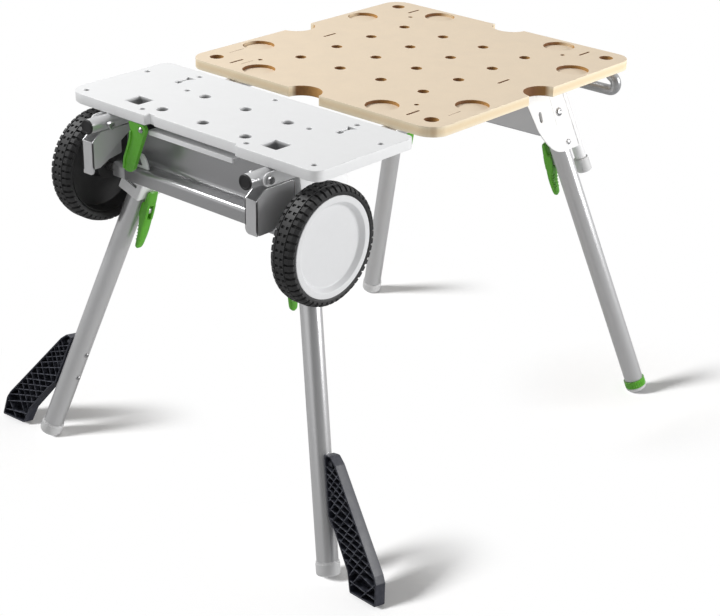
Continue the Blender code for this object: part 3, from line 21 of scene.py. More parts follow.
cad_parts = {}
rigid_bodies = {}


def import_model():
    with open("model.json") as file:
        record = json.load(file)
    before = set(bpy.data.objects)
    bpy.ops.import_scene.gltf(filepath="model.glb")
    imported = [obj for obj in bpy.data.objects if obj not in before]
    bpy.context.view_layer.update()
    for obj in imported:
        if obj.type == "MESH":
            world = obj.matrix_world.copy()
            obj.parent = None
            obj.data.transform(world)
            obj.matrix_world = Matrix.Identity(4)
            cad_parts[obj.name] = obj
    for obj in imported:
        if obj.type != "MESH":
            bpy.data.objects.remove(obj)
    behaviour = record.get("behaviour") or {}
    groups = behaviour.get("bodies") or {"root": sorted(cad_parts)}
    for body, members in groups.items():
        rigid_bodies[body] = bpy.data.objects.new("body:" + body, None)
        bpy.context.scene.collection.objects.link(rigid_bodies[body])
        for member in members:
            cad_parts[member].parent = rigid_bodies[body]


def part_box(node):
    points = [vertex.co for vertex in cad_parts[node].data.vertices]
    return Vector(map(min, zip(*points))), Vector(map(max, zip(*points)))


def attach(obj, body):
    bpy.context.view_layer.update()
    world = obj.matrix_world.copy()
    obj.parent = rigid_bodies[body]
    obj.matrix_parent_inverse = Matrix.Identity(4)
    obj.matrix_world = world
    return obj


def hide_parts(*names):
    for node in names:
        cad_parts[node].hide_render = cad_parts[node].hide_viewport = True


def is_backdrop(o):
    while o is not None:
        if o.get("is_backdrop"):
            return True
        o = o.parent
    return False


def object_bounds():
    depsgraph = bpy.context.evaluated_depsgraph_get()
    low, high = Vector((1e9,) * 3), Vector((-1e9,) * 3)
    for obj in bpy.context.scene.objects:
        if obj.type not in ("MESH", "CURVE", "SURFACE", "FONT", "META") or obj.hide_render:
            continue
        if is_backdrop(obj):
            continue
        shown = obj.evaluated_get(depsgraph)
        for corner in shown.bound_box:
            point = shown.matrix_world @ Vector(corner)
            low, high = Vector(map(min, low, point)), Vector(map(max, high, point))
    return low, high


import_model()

log = logging.getLogger("stand")
Array = np.ndarray
Socket = bpy.types.NodeSocket
Colour = tuple[float, float, float]
Point = tuple[float, float]
Corner = tuple[float, float, float]  # two coordinates and a rounding, or a place in the stand
Points = tuple[Point, ...]
Corners = tuple[Corner, ...]

SEAT = 0.0003  # gap between two pieces that rest on each other
FIT = 0.0005  # gap round a pin, plug or sleeve
SHEET = 0.0025  # thickness of every folded sheet
BOARD_TOP = 0.669
BOARD_LOW = 0.651
UNDER_BOARD = BOARD_LOW - SEAT
RAIL_Y = 0.183
RAIL_RADIUS = 0.0125
RAIL_Z = UNDER_BOARD - RAIL_RADIUS
SPLAY = 0.313  # run of every leg across the stand for each metre down
RAKE_FAR = 0.2087  # run along the stand of the legs at the handle end
RAKE_NEAR = 0.2242  # and of the legs at the wheel end
WEB_X = -0.512  # far face of the front beam's web
SHELF_Z = 0.561  # top of the front beam's shelf
NOSE_X = -0.548  # near face of the front beam's nose
AXLE_AT = (-0.5165, 0.5322)  # X and Z of the axle
AXLE_RADIUS = 0.006
CHEEK_IN = 0.0215  # from a leg's axis to the inner face of a bracket's cheek
SOFT_EDGE = 0.0004
SHEET_RIM = 0.0005
EXACT = 2e-6  # points closer than this are one point
CDT_EPSILON = 1e-9


class Placed(Enum):
    """A choice that node names carry."""

    @property
    def word(self) -> str:
        """The choice's word in node names."""
        return self.name.lower()


class Side(Placed):
    """The two sides of the stand, by the sign of Y."""

    LEFT = 1
    RIGHT = -1


class End(Placed):
    """The two ends of the stand, by the sign of X."""

    WHEEL = -1
    HANDLE = 1


# Shapes


def full_turn(steps: int) -> Array:
    """Equal angles round a full turn, the last one short of the first."""
    return np.linspace(0.0, 2.0 * np.pi, steps, endpoint=False)


def ring(cx: float, cy: float, radius: float, steps: int = 40) -> Array:
    """A circle, counter-clockwise: centre plus radius times (cos t, sin t), t from 0 to a full turn."""
    t = full_turn(steps)
    return np.stack([cx + radius * np.cos(t), cy + radius * np.sin(t)], axis=1)


def arc(cx: float, cy: float, radius: float, start: float, stop: float, steps: int = 10) -> Array:
    """An arc with both its ends: centre plus radius times (cos t, sin t), t in degrees from start to stop."""
    t = np.radians(np.linspace(start, stop, steps + 1))
    return np.stack([cx + radius * np.cos(t), cy + radius * np.sin(t)], axis=1)


def slot(cx: float, cy: float, along: float, across: float, steps: int = 8) -> Array:
    """A slot along the first axis, counter-clockwise: two half circles, joined by straights."""
    half, r = (along - across) / 2.0, across / 2.0
    return np.concatenate([
        arc(cx + half, cy, r, -90.0, 90.0, steps), arc(cx - half, cy, r, 90.0, 270.0, steps)])


def oblong(x0: float, x1: float, y0: float, y1: float) -> list[Point]:
    """The corners of a rectangle, counter-clockwise from the lowest."""
    return [(x0, y0), (x1, y0), (x1, y1), (x0, y1)]


def rounded(points: Sequence[Sequence[float]], radius: float | Sequence[float], steps: int = 5) -> Array:
    """A polygon with its corners rounded.

    Each corner P becomes the curve (1-s)^2 A + 2s(1-s) P + s^2 B. A and B lie on its two edges, at radius
    times tan(half the turn) from P, and never past 0.48 of the shorter edge.

    Args:
        points: the corners in order.
        radius: one radius, or one for each corner.
        steps: steps across each corner.

    Returns:
        The loop in the same order.
    """
    p = np.asarray(points, float)
    into = p - np.roll(p, 1, axis=0)
    out = np.roll(p, -1, axis=0) - p
    len_in = np.linalg.norm(into, axis=1, keepdims=True)
    len_out = np.linalg.norm(out, axis=1, keepdims=True)
    into, out = into / len_in, out / len_out
    turn = np.arccos(np.clip((into * out).sum(axis=1, keepdims=True), -1.0, 1.0))
    want = np.broadcast_to(np.asarray(radius, float), (len(p),)).reshape(-1, 1)
    reach = np.minimum(want * np.tan(turn / 2.0), 0.48 * np.minimum(len_in, len_out))
    a, b = p - into * reach, p + out * reach
    s = np.linspace(0.0, 1.0, steps + 1).reshape(1, -1, 1)
    curve = (1 - s) ** 2 * a[:, None] + 2 * s * (1 - s) * p[:, None] + s**2 * b[:, None]
    loop = curve.reshape(-1, 2)
    return loop[np.linalg.norm(loop - np.roll(loop, 1, axis=0), axis=1) > EXACT]


def cornered(corners: Sequence[Corner], steps: int = 4) -> Array:
    """A polygon whose corners are rounded one by one, each by its third number."""
    rows = np.asarray(corners, float)
    return rounded(rows[:, :2], rows[:, 2], steps)


def counter_clockwise(loop: Array) -> Array:
    """Turns a loop, if need be, so that its signed area (half the sum of cross products) is positive."""
    ahead = np.roll(loop, -1, axis=0)
    return loop if (loop[:, 0] * ahead[:, 1] - ahead[:, 0] * loop[:, 1]).sum() > 0 else loop[::-1]


def moved_in(loop: Array, by: float) -> Array:
    """A loop moved to its left by a distance.

    Each point moves along the sum of its two edge normals, divided by one plus their dot product, so that the
    edges stay parallel. The divisor stays above 0.35, so no sharp corner shoots away.

    Args:
        loop: a closed loop.
        by: distance to the left of its direction.

    Returns:
        The new loop, point for point.
    """
    into = loop - np.roll(loop, 1, axis=0)
    into = into / np.linalg.norm(into, axis=1, keepdims=True)
    out = np.roll(into, -1, axis=0)
    sideways = np.stack([-into[:, 1] - out[:, 1], into[:, 0] + out[:, 0]], axis=1)
    scale = np.maximum(1.0 + (into * out).sum(axis=1, keepdims=True), 0.35)
    return loop + sideways / scale * by


def inside(points: Array, loops: Sequence[Array]) -> Array:
    """Which points lie inside an odd number of loops, by counting the edges that a ray along +X crosses.

    Args:
        points: (n, 2) points.
        loops: closed loops.

    Returns:
        n booleans.
    """
    start = np.concatenate(loops)
    stop = np.concatenate([np.roll(loop, -1, axis=0) for loop in loops])
    x, y = points[:, :1], points[:, 1:]
    spans = (start[:, 1] > y) != (stop[:, 1] > y)
    rise = stop[:, 1] - start[:, 1]
    rise = np.where(np.abs(rise) < 1e-12, 1e-12, rise)
    cross = (stop[:, 0] - start[:, 0]) * (y - start[:, 1]) / rise + start[:, 0]
    return ((spans & (x < cross)).sum(axis=1) % 2) == 1


def stacked(rows: Sequence[tuple[Array, float]]) -> Array:
    """Flat loops at their heights, as one grid of 3-D points."""
    return np.array([np.column_stack([loop, np.full(len(loop), z)]) for loop, z in rows])


def apply(points: Array, matrix: Matrix) -> Array:
    """Points moved by a 4 by 4 matrix: the linear part times the point, plus the shift."""
    m = np.array(matrix)
    return points @ m[:3, :3].T + m[:3, 3]


def eased(x: Array, low: float, high: float) -> Array:
    """0 below low, 1 above high, and 3s^2 - 2s^3 between, with s the share of the way."""
    s = np.clip((x - low) / (high - low), 0.0, 1.0)
    return s * s * (3.0 - 2.0 * s)


def shifted(x: float = 0.0, y: float = 0.0, z: float = 0.0) -> Matrix:
    """A plain shift."""
    return Matrix.Translation((x, y, z))


# Drawing planes: where a plate's two coordinates and its height lie in the stand, and a turned shape's axis
ALONG_X = Matrix.Rotation(math.radians(90.0), 4, "Y")
ALONG_Y = Matrix.Rotation(math.radians(-90.0), 4, "X")
IN_XZ = Matrix(((1, 0, 0, 0), (0, 0, -1, 0), (0, 1, 0, 0), (0, 0, 0, 1)))
IN_YZ = Matrix(((0, 0, 1, 0), (1, 0, 0, 0), (0, 1, 0, 0), (0, 0, 0, 1)))


def in_xz(y0: float, y1: float) -> Point:
    """Low and high for a plate drawn in X and Z that spans y0 to y1, because IN_XZ turns height into -Y."""
    return -max(y0, y1), -min(y0, y1)


class Surface:
    """Gathers the points and faces of one piece, then makes it an object."""

    def __init__(self) -> None:
        """Starts empty."""
        self.points: list[Array] = []
        self.faces: list[list[int]] = []
        self.smooth: list[bool] = []
        self.count = 0

    def add(self, points: Array, faces: Array, smooth: bool = True) -> None:
        """Adds points and the faces between them.

        Args:
            points: points, three numbers each.
            faces: indices into those points, one row for each face.
            smooth: whether these faces are shaded smoothly.
        """
        self.faces += (faces + self.count).tolist()
        self.smooth += [smooth] * len(faces)
        self.points.append(points.reshape(-1, 3))
        self.count += len(self.points[-1])

    def grid(self, points: Array, wrap_rows: bool = False) -> None:
        """Adds a grid of points whose rows are closed loops, with cell (i, j) to (i+1, j+1) as a face.

        Args:
            points: (rows, cols, 3) points.
            wrap_rows: join the last row to the first.
        """
        rows, cols = points.shape[:2]
        i = np.arange(rows if wrap_rows else rows - 1)[:, None]
        j = np.arange(cols)[None, :]
        i2, j2 = (i + 1) % rows, (j + 1) % cols
        quads = np.stack([i * cols + j, i * cols + j2, i2 * cols + j2, i2 * cols + j], axis=-1)
        self.add(points, quads.reshape(-1, 4))

    def lid(self, loop: Array) -> None:
        """Closes a loop of 3-D points with one flat face."""
        self.add(loop, np.arange(len(loop))[None], smooth=False)

    def tunnel(self, rows: Array) -> None:
        """Adds a tube of loops and closes both its ends.

        Args:
            rows: (rows, cols, 3) points.
        """
        self.grid(rows)
        self.lid(rows[0][::-1])
        self.lid(rows[-1])

    def turn(self, profile: Array, steps: int, matrix: Matrix, closed: bool = False) -> "Surface":
        """Adds a turned shape: (r, h) becomes (r cos t, r sin t, h) for t round a full turn.

        Args:
            profile: (n, 2) radius and height.
            steps: steps round.
            matrix: sets the shape in place.
            closed: the profile is a loop.

        Returns:
            The surface itself.
        """
        t = full_turn(steps)
        r, h = profile[:, :1], profile[:, 1:]
        points = np.stack([r * np.cos(t), r * np.sin(t), h * np.ones_like(t)], axis=-1)
        self.grid(apply(points, matrix), wrap_rows=closed)
        return self

    def carry(self, path: Array, radius: float, steps: int) -> "Surface":
        """Adds a round bar: at each path point, radius times (side cos t + other sin t).

        The side vector starts along Z and is made square to the path at every point, so nothing twists.

        Args:
            path: (n, 3) points along the middle.
            radius: the bar's radius.
            steps: steps round.

        Returns:
            The surface itself.
        """
        ahead = np.gradient(path, axis=0)
        ahead /= np.linalg.norm(ahead, axis=1, keepdims=True)
        side = np.array([0.0, 0.0, 1.0])
        t = full_turn(steps)[:, None]
        rows = []
        for here, direction in zip(path, ahead):
            side = side - direction * side.dot(direction)
            side /= np.linalg.norm(side)
            other = np.cross(direction, side)
            rows.append(here + radius * (np.cos(t) * side + np.sin(t) * other))
        self.tunnel(np.array(rows))
        return self

    def plate(self, outline: Array, low: float, high: float, matrix: Matrix, rim: float = SOFT_EDGE,
              holes: Sequence[Array] = (), pits: Sequence[tuple[Array, float]] = (),
              steps: int = 2) -> "Surface":
        """Adds a flat plate with through holes and blind pits, its rims rounded.

        Each loop's wall is a grid: the loop moved into the material by rim (1 - sin a), at the height
        high - rim (1 - cos a), for a from 0 to 90 degrees, and the same at the bottom.

        Args:
            outline: the outer loop.
            low: bottom height.
            high: top height.
            matrix: sets the plate in place.
            rim: rounding of the rims.
            holes: loops cut through.
            pits: loops sunk from the top, with their depths.
            steps: steps across each rounding.

        Returns:
            The surface itself.
        """
        a = np.linspace(0.0, np.pi / 2.0, steps + 1)
        inward, drop = rim * (1.0 - np.sin(a)), rim * (1.0 - np.cos(a))
        through = [counter_clockwise(outline)] + [counter_clockwise(hole)[::-1] for hole in holes]
        sunk = [counter_clockwise(loop)[::-1] for loop, _ in pits]
        for loop in through:
            top = [(moved_in(loop, d), high - z) for d, z in zip(inward, drop)]
            bottom = [(moved_in(loop, d), low + z) for d, z in zip(inward[::-1], drop[::-1])]
            self.grid(apply(stacked(top + bottom), matrix))
        for loop, (_, depth) in zip(sunk, pits):
            top = [(moved_in(loop, d), high - z) for d, z in zip(inward, drop)]
            rows = apply(stacked(top + [(loop, high - depth)]), matrix)
            self.grid(rows)
            self.lid(rows[-1])
        self.face([moved_in(loop, rim) for loop in through + sunk], high, matrix)
        self.face([moved_in(loop, rim) for loop in through], low, matrix)
        return self

    def face(self, loops: Sequence[Array], height: float, matrix: Matrix) -> None:
        """Adds a flat face between loops, as triangles whose middles lie inside an odd number of them.

        Args:
            loops: the outer loop and the holes.
            height: where the face lies.
            matrix: sets it in place.
        """
        points = np.concatenate(loops)
        first = np.arange(len(points))
        ends = np.cumsum([len(loop) for loop in loops])
        second = first + 1
        second[ends - 1] = np.concatenate([[0], ends[:-1]])
        edges = np.stack([first, second], axis=1).tolist()
        made = delaunay_2d_cdt([Vector(p) for p in points], edges, [], 0, CDT_EPSILON)
        flat, triangles = np.array([tuple(p) for p in made[0]]), np.array(made[2])
        triangles = triangles[inside(flat[triangles].mean(axis=1), loops)]
        self.add(apply(stacked([(flat, height)])[0], matrix), triangles, smooth=False)

    def rib(self, a: Array, b: Array, half: float, low: float, high: float, matrix: Matrix) -> None:
        """Adds a thin rib along the line from a to b, half wide to each side, from low to high."""
        side = np.array([a[1] - b[1], b[0] - a[0]]) / np.linalg.norm(b - a) * half
        self.plate(np.array([a - side, b - side, b + side, a + side]), low, high, matrix, half / 3.0, steps=1)

    def piece(self, node: str, finish: "Finish", body: str = "frame", sharp: float = 34.0) -> None:
        """Makes the object that stands for a node, merges its seams and gives it its finish.

        Args:
            node: the node that it replaces.
            finish: its finish.
            body: the body that it rides on.
            sharp: edges that turn by more than this many degrees stay sharp.
        """
        mesh = bpy.data.meshes.new(f"{node}_form")
        mesh.from_pydata(np.concatenate(self.points).tolist(), [], self.faces)
        mesh.polygons.foreach_set("use_smooth", np.array(self.smooth, bool))
        bm = bmesh.new()
        bm.from_mesh(mesh)
        bmesh.ops.remove_doubles(bm, verts=bm.verts, dist=EXACT)
        bmesh.ops.dissolve_degenerate(bm, edges=bm.edges, dist=EXACT)
        bmesh.ops.recalc_face_normals(bm, faces=bm.faces)
        bm.to_mesh(mesh)
        bm.free()
        # set_sharp_from_angle makes every face smooth, so the flat ones are noted and set again after it
        smooth = np.zeros(len(mesh.polygons), bool)
        mesh.polygons.foreach_get("use_smooth", smooth)
        mesh.set_sharp_from_angle(angle=math.radians(sharp))
        mesh.polygons.foreach_set("use_smooth", smooth)
        obj = bpy.data.objects.new(f"{node}_piece", mesh)
        bpy.context.scene.collection.objects.link(obj)
        mesh.materials.append(finish.material())
        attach(obj, body)
        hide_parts(node)
        log.info("%s: %d faces", obj.name, len(mesh.polygons))


# Finishes

Outputs = bpy.types.bpy_prop_collection
Given = dict[str, Socket]
Layers = tuple[Socket, Socket, Socket]


class Graph:
    """Adds nodes to a shader tree and joins them."""

    def __init__(self, tree: bpy.types.NodeTree) -> None:
        """Keeps the material's, world's or group's node tree."""
        self.tree = tree

    def node(self, kind: str, values: dict[str | int, object] | None = None, **settings: object) -> Outputs:
        """Adds a node.

        Args:
            kind: the node's type, without ShaderNode.
            values: a value, or a socket to join, for each input's name or number.
            settings: properties of the node itself.

        Returns:
            The node's outputs.
        """
        made = self.tree.nodes.new(f"ShaderNode{kind}")
        for name, value in settings.items():
            setattr(made, name, value)
        for name, value in (values or {}).items():
            self.feed(made.inputs[name], value)
        return made.outputs

    def feed(self, socket: Socket, value: object) -> None:
        """Joins a socket to another, or sets its value.

        Args:
            socket: the socket.
            value: what it gets.
        """
        if isinstance(value, bpy.types.NodeSocket):
            self.tree.links.new(value, socket)
        else:
            socket.default_value = value

    def maths(self, operation: str, a: object, b: object = 0.0) -> Socket:
        """One arithmetic step on two numbers."""
        return self.node("Math", {0: a, 1: b}, operation=operation)[0]

    def times(self, *factors: object) -> Socket:
        """The product of numbers."""
        return reduce(lambda a, b: self.maths("MULTIPLY", a, b), factors)

    def plus(self, a: object, b: object) -> Socket:
        """The sum of two numbers."""
        return self.maths("ADD", a, b)

    def minus(self, a: object, b: object) -> Socket:
        """The first number less the second."""
        return self.maths("SUBTRACT", a, b)

    def along(self, operation: str, a: object, b: Sequence[float]) -> Socket:
        """A number made of a vector and a fixed one: their dot product or their distance."""
        return self.node("VectorMath", {0: a, 1: b}, operation=operation)["Value"]

    def between(self, value: object, low: float, high: float, start: float = 0.0, stop: float = 1.0,
                way: str = "LINEAR") -> Socket:
        """Moves a number from the span low to high onto start to stop, and holds it at the ends."""
        span = dict(enumerate((value, low, high, start, stop)))
        return self.node("MapRange", span, interpolation_type=way)[0]

    def blended(self, share: object, a: object, b: object) -> Socket:
        """Two colours mixed by a share."""
        return self.node("Mix", {0: share, 6: a, 7: b}, data_type="RGBA")[2]

    def noise(self, place: object, scale: object, detail: float) -> Socket:
        """Noise at a scale in features a metre."""
        return self.node("TexNoise", {"Vector": place, "Scale": scale, "Detail": detail})["Fac"]

    def place(self) -> Socket:
        """The place on the object, in its own coordinates."""
        return self.node("TexCoord")["Object"]

    def geometry(self, name: str) -> Socket:
        """One of the surface's own facts."""
        return self.node("NewGeometry")[name]

    def parts(self, vector: object) -> Outputs:
        """X, Y and Z of a vector."""
        return self.node("SeparateXYZ", {"Vector": vector})

    def facing_up(self) -> Socket:
        """How far the surface faces up: 1 up, 0 sideways, -1 down."""
        return self.parts(self.geometry("Normal"))["Z"]


# Where each effect's noise, edges and tops begin and end to count
GRAIN_SPAN = (0.36, 0.64)
RUB_EDGE = (0.515, 0.56)
RUB_PATCH = (0.42, 0.62)
DUST_UP = (0.1, 0.9)
DUST_PATCH = (0.4, 0.72)
LINE_SPAN = (0.35, 0.65)


@dataclass(frozen=True)
class Effect:
    """A shader node group that several finishes share."""

    name: str
    inputs: tuple[tuple[str, float], ...]
    outputs: tuple[str, ...]
    fill: Callable[[Graph, Given], Given]

    def tree(self) -> bpy.types.NodeTree:
        """Makes the group once, and hands out the same one after that.

        Returns:
            The group.
        """
        known = bpy.data.node_groups.get(self.name)
        if known:
            return known
        tree = bpy.data.node_groups.new(self.name, "ShaderNodeTree")
        for label, value in self.inputs:
            made = tree.interface.new_socket(label, in_out="INPUT", socket_type="NodeSocketFloat")
            made.default_value = value
        for label in self.outputs:
            tree.interface.new_socket(label, in_out="OUTPUT", socket_type="NodeSocketFloat")
        entry, leave = tree.nodes.new("NodeGroupInput"), tree.nodes.new("NodeGroupOutput")
        made = self.fill(Graph(tree), {label: entry.outputs[label] for label, _ in self.inputs})
        for label in self.outputs:
            tree.links.new(made[label], leave.inputs[label])
        return tree

    def placed(self, graph: Graph, **values: float) -> Outputs:
        """Puts the group into a material.

        Args:
            graph: the material's graph.
            values: a number for some of its inputs, by name.

        Returns:
            The group's outputs.
        """
        made = graph.tree.nodes.new("ShaderNodeGroup")
        made.node_tree = self.tree()
        for name, value in values.items():
            made.inputs[name].default_value = value
        return made.outputs


def fill_grain(graph: Graph, given: Given) -> Given:
    """Grain: 0.6 of fine noise and 0.4 of coarse noise in Object coordinates, with a height for bumps.

    Args:
        graph: the group's graph.
        given: the group's inputs.

    Returns:
        Mask and height.
    """
    place = graph.place()
    fine = graph.noise(place, given["Scale"], 4.0)
    broad = graph.noise(place, graph.times(given["Scale"], given["Broad"]), 2.0)
    both = graph.plus(graph.times(fine, 0.6), graph.times(broad, 0.4))
    return {"Mask": graph.between(both, *GRAIN_SPAN), "Height": fine}


def fill_rub(graph: Graph, given: Given) -> Given:
    """Rubbed edges: where the surface is pointed, broken up by noise."""
    patch = graph.between(graph.noise(graph.place(), given["Scale"], 5.0), *RUB_PATCH)
    return {"Mask": graph.times(
        graph.between(graph.geometry("Pointiness"), *RUB_EDGE), patch, given["Amount"])}


def fill_dust(graph: Graph, given: Given) -> Given:
    """Dust: on what faces up, in soft patches."""
    patch = graph.between(graph.noise(graph.place(), given["Scale"], 4.0), *DUST_PATCH)
    return {"Mask": graph.times(graph.between(graph.facing_up(), *DUST_UP), patch, given["Amount"])}


def fill_lines(graph: Graph, given: Given) -> Given:
    """Drawn lines: noise squeezed along X, as a die or a brush leaves it.

    Args:
        graph: the group's graph.
        given: the group's inputs.

    Returns:
        Mask.
    """
    x, y, z = (graph.parts(graph.place())[name] for name in "XYZ")
    flat = graph.node("CombineXYZ", {"X": graph.times(x, given["Squeeze"]), "Y": y, "Z": z})[0]
    return {"Mask": graph.between(graph.noise(flat, given["Scale"], 3.0), *LINE_SPAN)}


GRAIN = Effect("fine_grain", (("Scale", 900.0), ("Broad", 0.05)), ("Mask", "Height"), fill_grain)
RUB = Effect("edge_rub", (("Scale", 180.0), ("Amount", 0.25)), ("Mask",), fill_rub)
DUST = Effect("settled_dust", (("Scale", 26.0), ("Amount", 0.1)), ("Mask",), fill_dust)
LINES = Effect("drawn_lines", (("Scale", 1400.0), ("Squeeze", 0.02)), ("Mask",), fill_lines)


def opaque(colour: Colour) -> tuple[float, float, float, float]:
    """The colour with full alpha."""
    return (*colour, 1.0)


def grey(level: float) -> tuple[float, float, float, float]:
    """An opaque grey."""
    return opaque((level, level, level))


@dataclass(frozen=True)
class Finish:
    """A coated, moulded or plated finish: a colour that drifts, with grain, dust and rubbed edges."""

    name: str
    slot: str
    colour: Colour
    drift: float = 0.012
    roughness: float = 0.45
    vary: float = 0.05
    metallic: float = 0.0
    grain: float = 900.0
    bump: float = 0.05
    bump_depth: float = 0.0002
    dust: float = 0.03
    dust_colour: Colour = (0.62, 0.6, 0.56)
    dust_dull: float = 0.3
    rub: float = 0.0
    rub_colour: Colour = (0.72, 0.72, 0.72)
    coat: float = 0.0
    coat_roughness: float = 0.25
    lines: float = 0.0

    def material(self) -> bpy.types.Material:
        """Makes the finish's material once, and hands out the same one after that.

        Returns:
            The material.
        """
        known = bpy.data.materials.get(self.name)
        if known:
            return known
        material = bpy.data.materials.new(self.name)
        material.use_nodes = True
        material.diffuse_color = opaque(self.colour)
        graph = Graph(material.node_tree)
        colour, rough, height = self.layers(graph)
        bump = graph.node("Bump", {"Strength": self.bump, "Distance": self.bump_depth, "Height": height})
        inputs = material.node_tree.nodes["Principled BSDF"].inputs
        for name, value in (
            ("Base Color", colour), ("Roughness", rough), ("Normal", bump[0]), ("Metallic", self.metallic),
            ("Coat Weight", self.coat), ("Coat Roughness", self.coat_roughness),
        ):
            graph.feed(inputs[name], value)
        return material

    def layers(self, graph: Graph) -> Layers:
        """Mixes grain, rubbed edges and dust over the main colour.

        Args:
            graph: the material's graph.

        Returns:
            Colour, roughness and height.
        """
        grain = GRAIN.placed(graph, Scale=self.grain)
        rub = RUB.placed(graph, Amount=self.rub)["Mask"]
        dust = DUST.placed(graph, Amount=self.dust)["Mask"]
        dark = tuple(c * (1.0 - self.drift) for c in self.colour)
        light = tuple(min(1.0, c * (1.0 + self.drift)) for c in self.colour)
        colour = graph.blended(grain["Mask"], opaque(dark), opaque(light))
        colour = graph.blended(rub, colour, opaque(self.rub_colour))
        colour = graph.blended(dust, colour, opaque(self.dust_colour))
        rough = graph.between(grain["Mask"], 0.0, 1.0, self.roughness - self.vary, self.roughness + self.vary)
        rough = graph.plus(rough, graph.times(dust, self.dust_dull))
        height = grain["Height"]
        if self.lines:
            height = graph.plus(height, graph.times(LINES.placed(graph)["Mask"], self.lines))
        return colour, rough, height

    @staticmethod
    def bordered(graph: Graph, node: str, border: float, soft: float) -> Socket:
        """A mask, seen from above: 1 inside the border of a node's box, 0 in the border.

        It is the product of one for X and one for Y, each falling over the last bit before the border.

        Args:
            graph: the material's graph.
            node: the node whose box counts.
            border: width of the border.
            soft: width of the change.

        Returns:
            The mask.
        """
        low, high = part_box(node)
        place = graph.parts(graph.place())
        masks = []
        for axis, name in enumerate("XY"):
            middle, half = (low[axis] + high[axis]) / 2.0, (high[axis] - low[axis]) / 2.0 - border
            off = graph.maths("ABSOLUTE", graph.minus(place[name], middle))
            masks.append(graph.between(off, half - soft, half, 1.0, 0.0))
        return graph.times(*masks)


@dataclass(frozen=True)
class FibreBoard(Finish):
    """Pressed fibreboard: a smooth light face, cut walls darker and warmer toward the middle, and painted
    shade and painted light on the walls of its holes.
    """

    cut: Colour = (0.9, 0.79, 0.6)
    deep: Colour = (0.8, 0.62, 0.38)
    # The next two colours paint shade and light on the walls inside the board: the first where a wall faces
    # away from the key lamp's side, the second where it faces it
    inside: Colour = (0.18, 0.075, 0.022)
    golden: Colour = (0.52, 0.28, 0.085)
    golden_way: Corner = (-0.641, 0.768, 0.0)
    golden_span: Point = (-0.45, 0.75)
    middle: float = 0.66
    half_thick: float = 0.009
    core: float = 0.2
    border: float = 0.006
    soft: float = 0.008
    fibre_scale: float = 1500.0
    fibre_low: float = 0.35
    fibre_height: float = 2.0
    fleck_scale: float = 420.0
    fleck: float = 0.1
    wall_dull: float = 0.2

    def layers(self, graph: Graph) -> Layers:
        """Colours the flat faces and the cut walls apart, by how far the surface faces up or down, and paints
        shade and light on the walls inside the board.

        Args:
            graph: the material's graph.

        Returns:
            Colour, roughness and height.
        """
        base, rough, height = super().layers(graph)
        place = graph.place()
        wall = graph.between(graph.maths("ABSOLUTE", graph.facing_up()), 0.35, 0.95, 1.0, 0.0)
        off = graph.maths("ABSOLUTE", graph.minus(graph.parts(place)["Z"], self.middle))
        core = graph.between(off, self.half_thick * self.core, self.half_thick, 1.0, 0.0)
        fibres = graph.noise(place, self.fibre_scale, 4.0)
        shade = graph.times(core, graph.between(fibres, 0.3, 0.7, self.fibre_low, 1.0))
        # Painted light and shade: walls that face the key lamp's side take the lit colour, the others the dark
        # one
        painted_light_share = graph.along("DOT_PRODUCT", graph.geometry("Normal"), self.golden_way)
        painted_light_share = graph.between(painted_light_share, *self.golden_span)
        inner = graph.blended(painted_light_share, opaque(self.inside), opaque(self.golden))
        cut = graph.blended(shade, opaque(self.cut), opaque(self.deep))
        cut = graph.blended(self.bordered(graph, "hole_board", self.border, self.soft), cut, inner)
        flecks = graph.between(graph.noise(place, self.fleck_scale, 6.0), 0.58, 0.74, 0.0, self.fleck)
        colour = graph.blended(wall, graph.blended(flecks, base, opaque(self.cut)), cut)
        rough = graph.plus(rough, graph.times(wall, self.wall_dull))
        return colour, rough, graph.plus(height, graph.times(wall, fibres, self.fibre_height))


@dataclass(frozen=True)
class BoredPlate(Finish):
    """Coated plate with painted shade in its holes and pockets, darker with depth, while its outer edge stays
    light.
    """

    # The bore colour is painted shade for the holes and pockets: it begins below the first depth and is
    # strongest past the second
    bore: Colour = (0.17, 0.17, 0.175)
    border: float = 0.0135
    lit: float = 0.001
    dark: float = 0.0065
    darkest: float = 0.9

    def layers(self, graph: Graph) -> Layers:
        """Paints shade on what lies below the top, faces sideways or up, and is inside the border of the
        plate's box.

        Args:
            graph: the material's graph.

        Returns:
            Colour, roughness and height.
        """
        base, rough, height = super().layers(graph)
        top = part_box("machine_plate")[1][2]
        sunk = graph.minus(top, graph.parts(graph.place())["Z"])
        # Painted shade: the deeper a wall inside the plate's border, the more of the bore colour it takes
        share = graph.times(
            graph.between(graph.facing_up(), -0.7, -0.3),
            self.bordered(graph, "machine_plate", self.border, SOFT_EDGE),
            graph.between(sunk, self.lit, self.dark, 0.0, self.darkest))
        return graph.blended(share, base, opaque(self.bore)), rough, height


BOARD = FibreBoard(
    "pressed_board", "board_wood", (0.8, 0.665, 0.5), drift=0.03, roughness=0.58, grain=700.0, dust=0.04,
    dust_colour=(0.86, 0.76, 0.62))
PLATE = BoredPlate(
    "plate_coating", "light_metal", (0.84, 0.845, 0.85), roughness=0.36, vary=0.03, grain=1600.0, bump=0.03,
    dust=0.04, coat=0.15)
TUBE = Finish(
    "silver_coating", "light_metal", (0.72, 0.722, 0.73), drift=0.006, roughness=0.28, vary=0.004,
    metallic=0.6, grain=2600.0, bump=0.002, dust=0.0)
SHEET_WHITE = Finish(
    "bracket_coating", "light_metal", (0.83, 0.835, 0.84), roughness=0.38, vary=0.02, grain=1500.0,
    bump=0.03, coat=0.1)
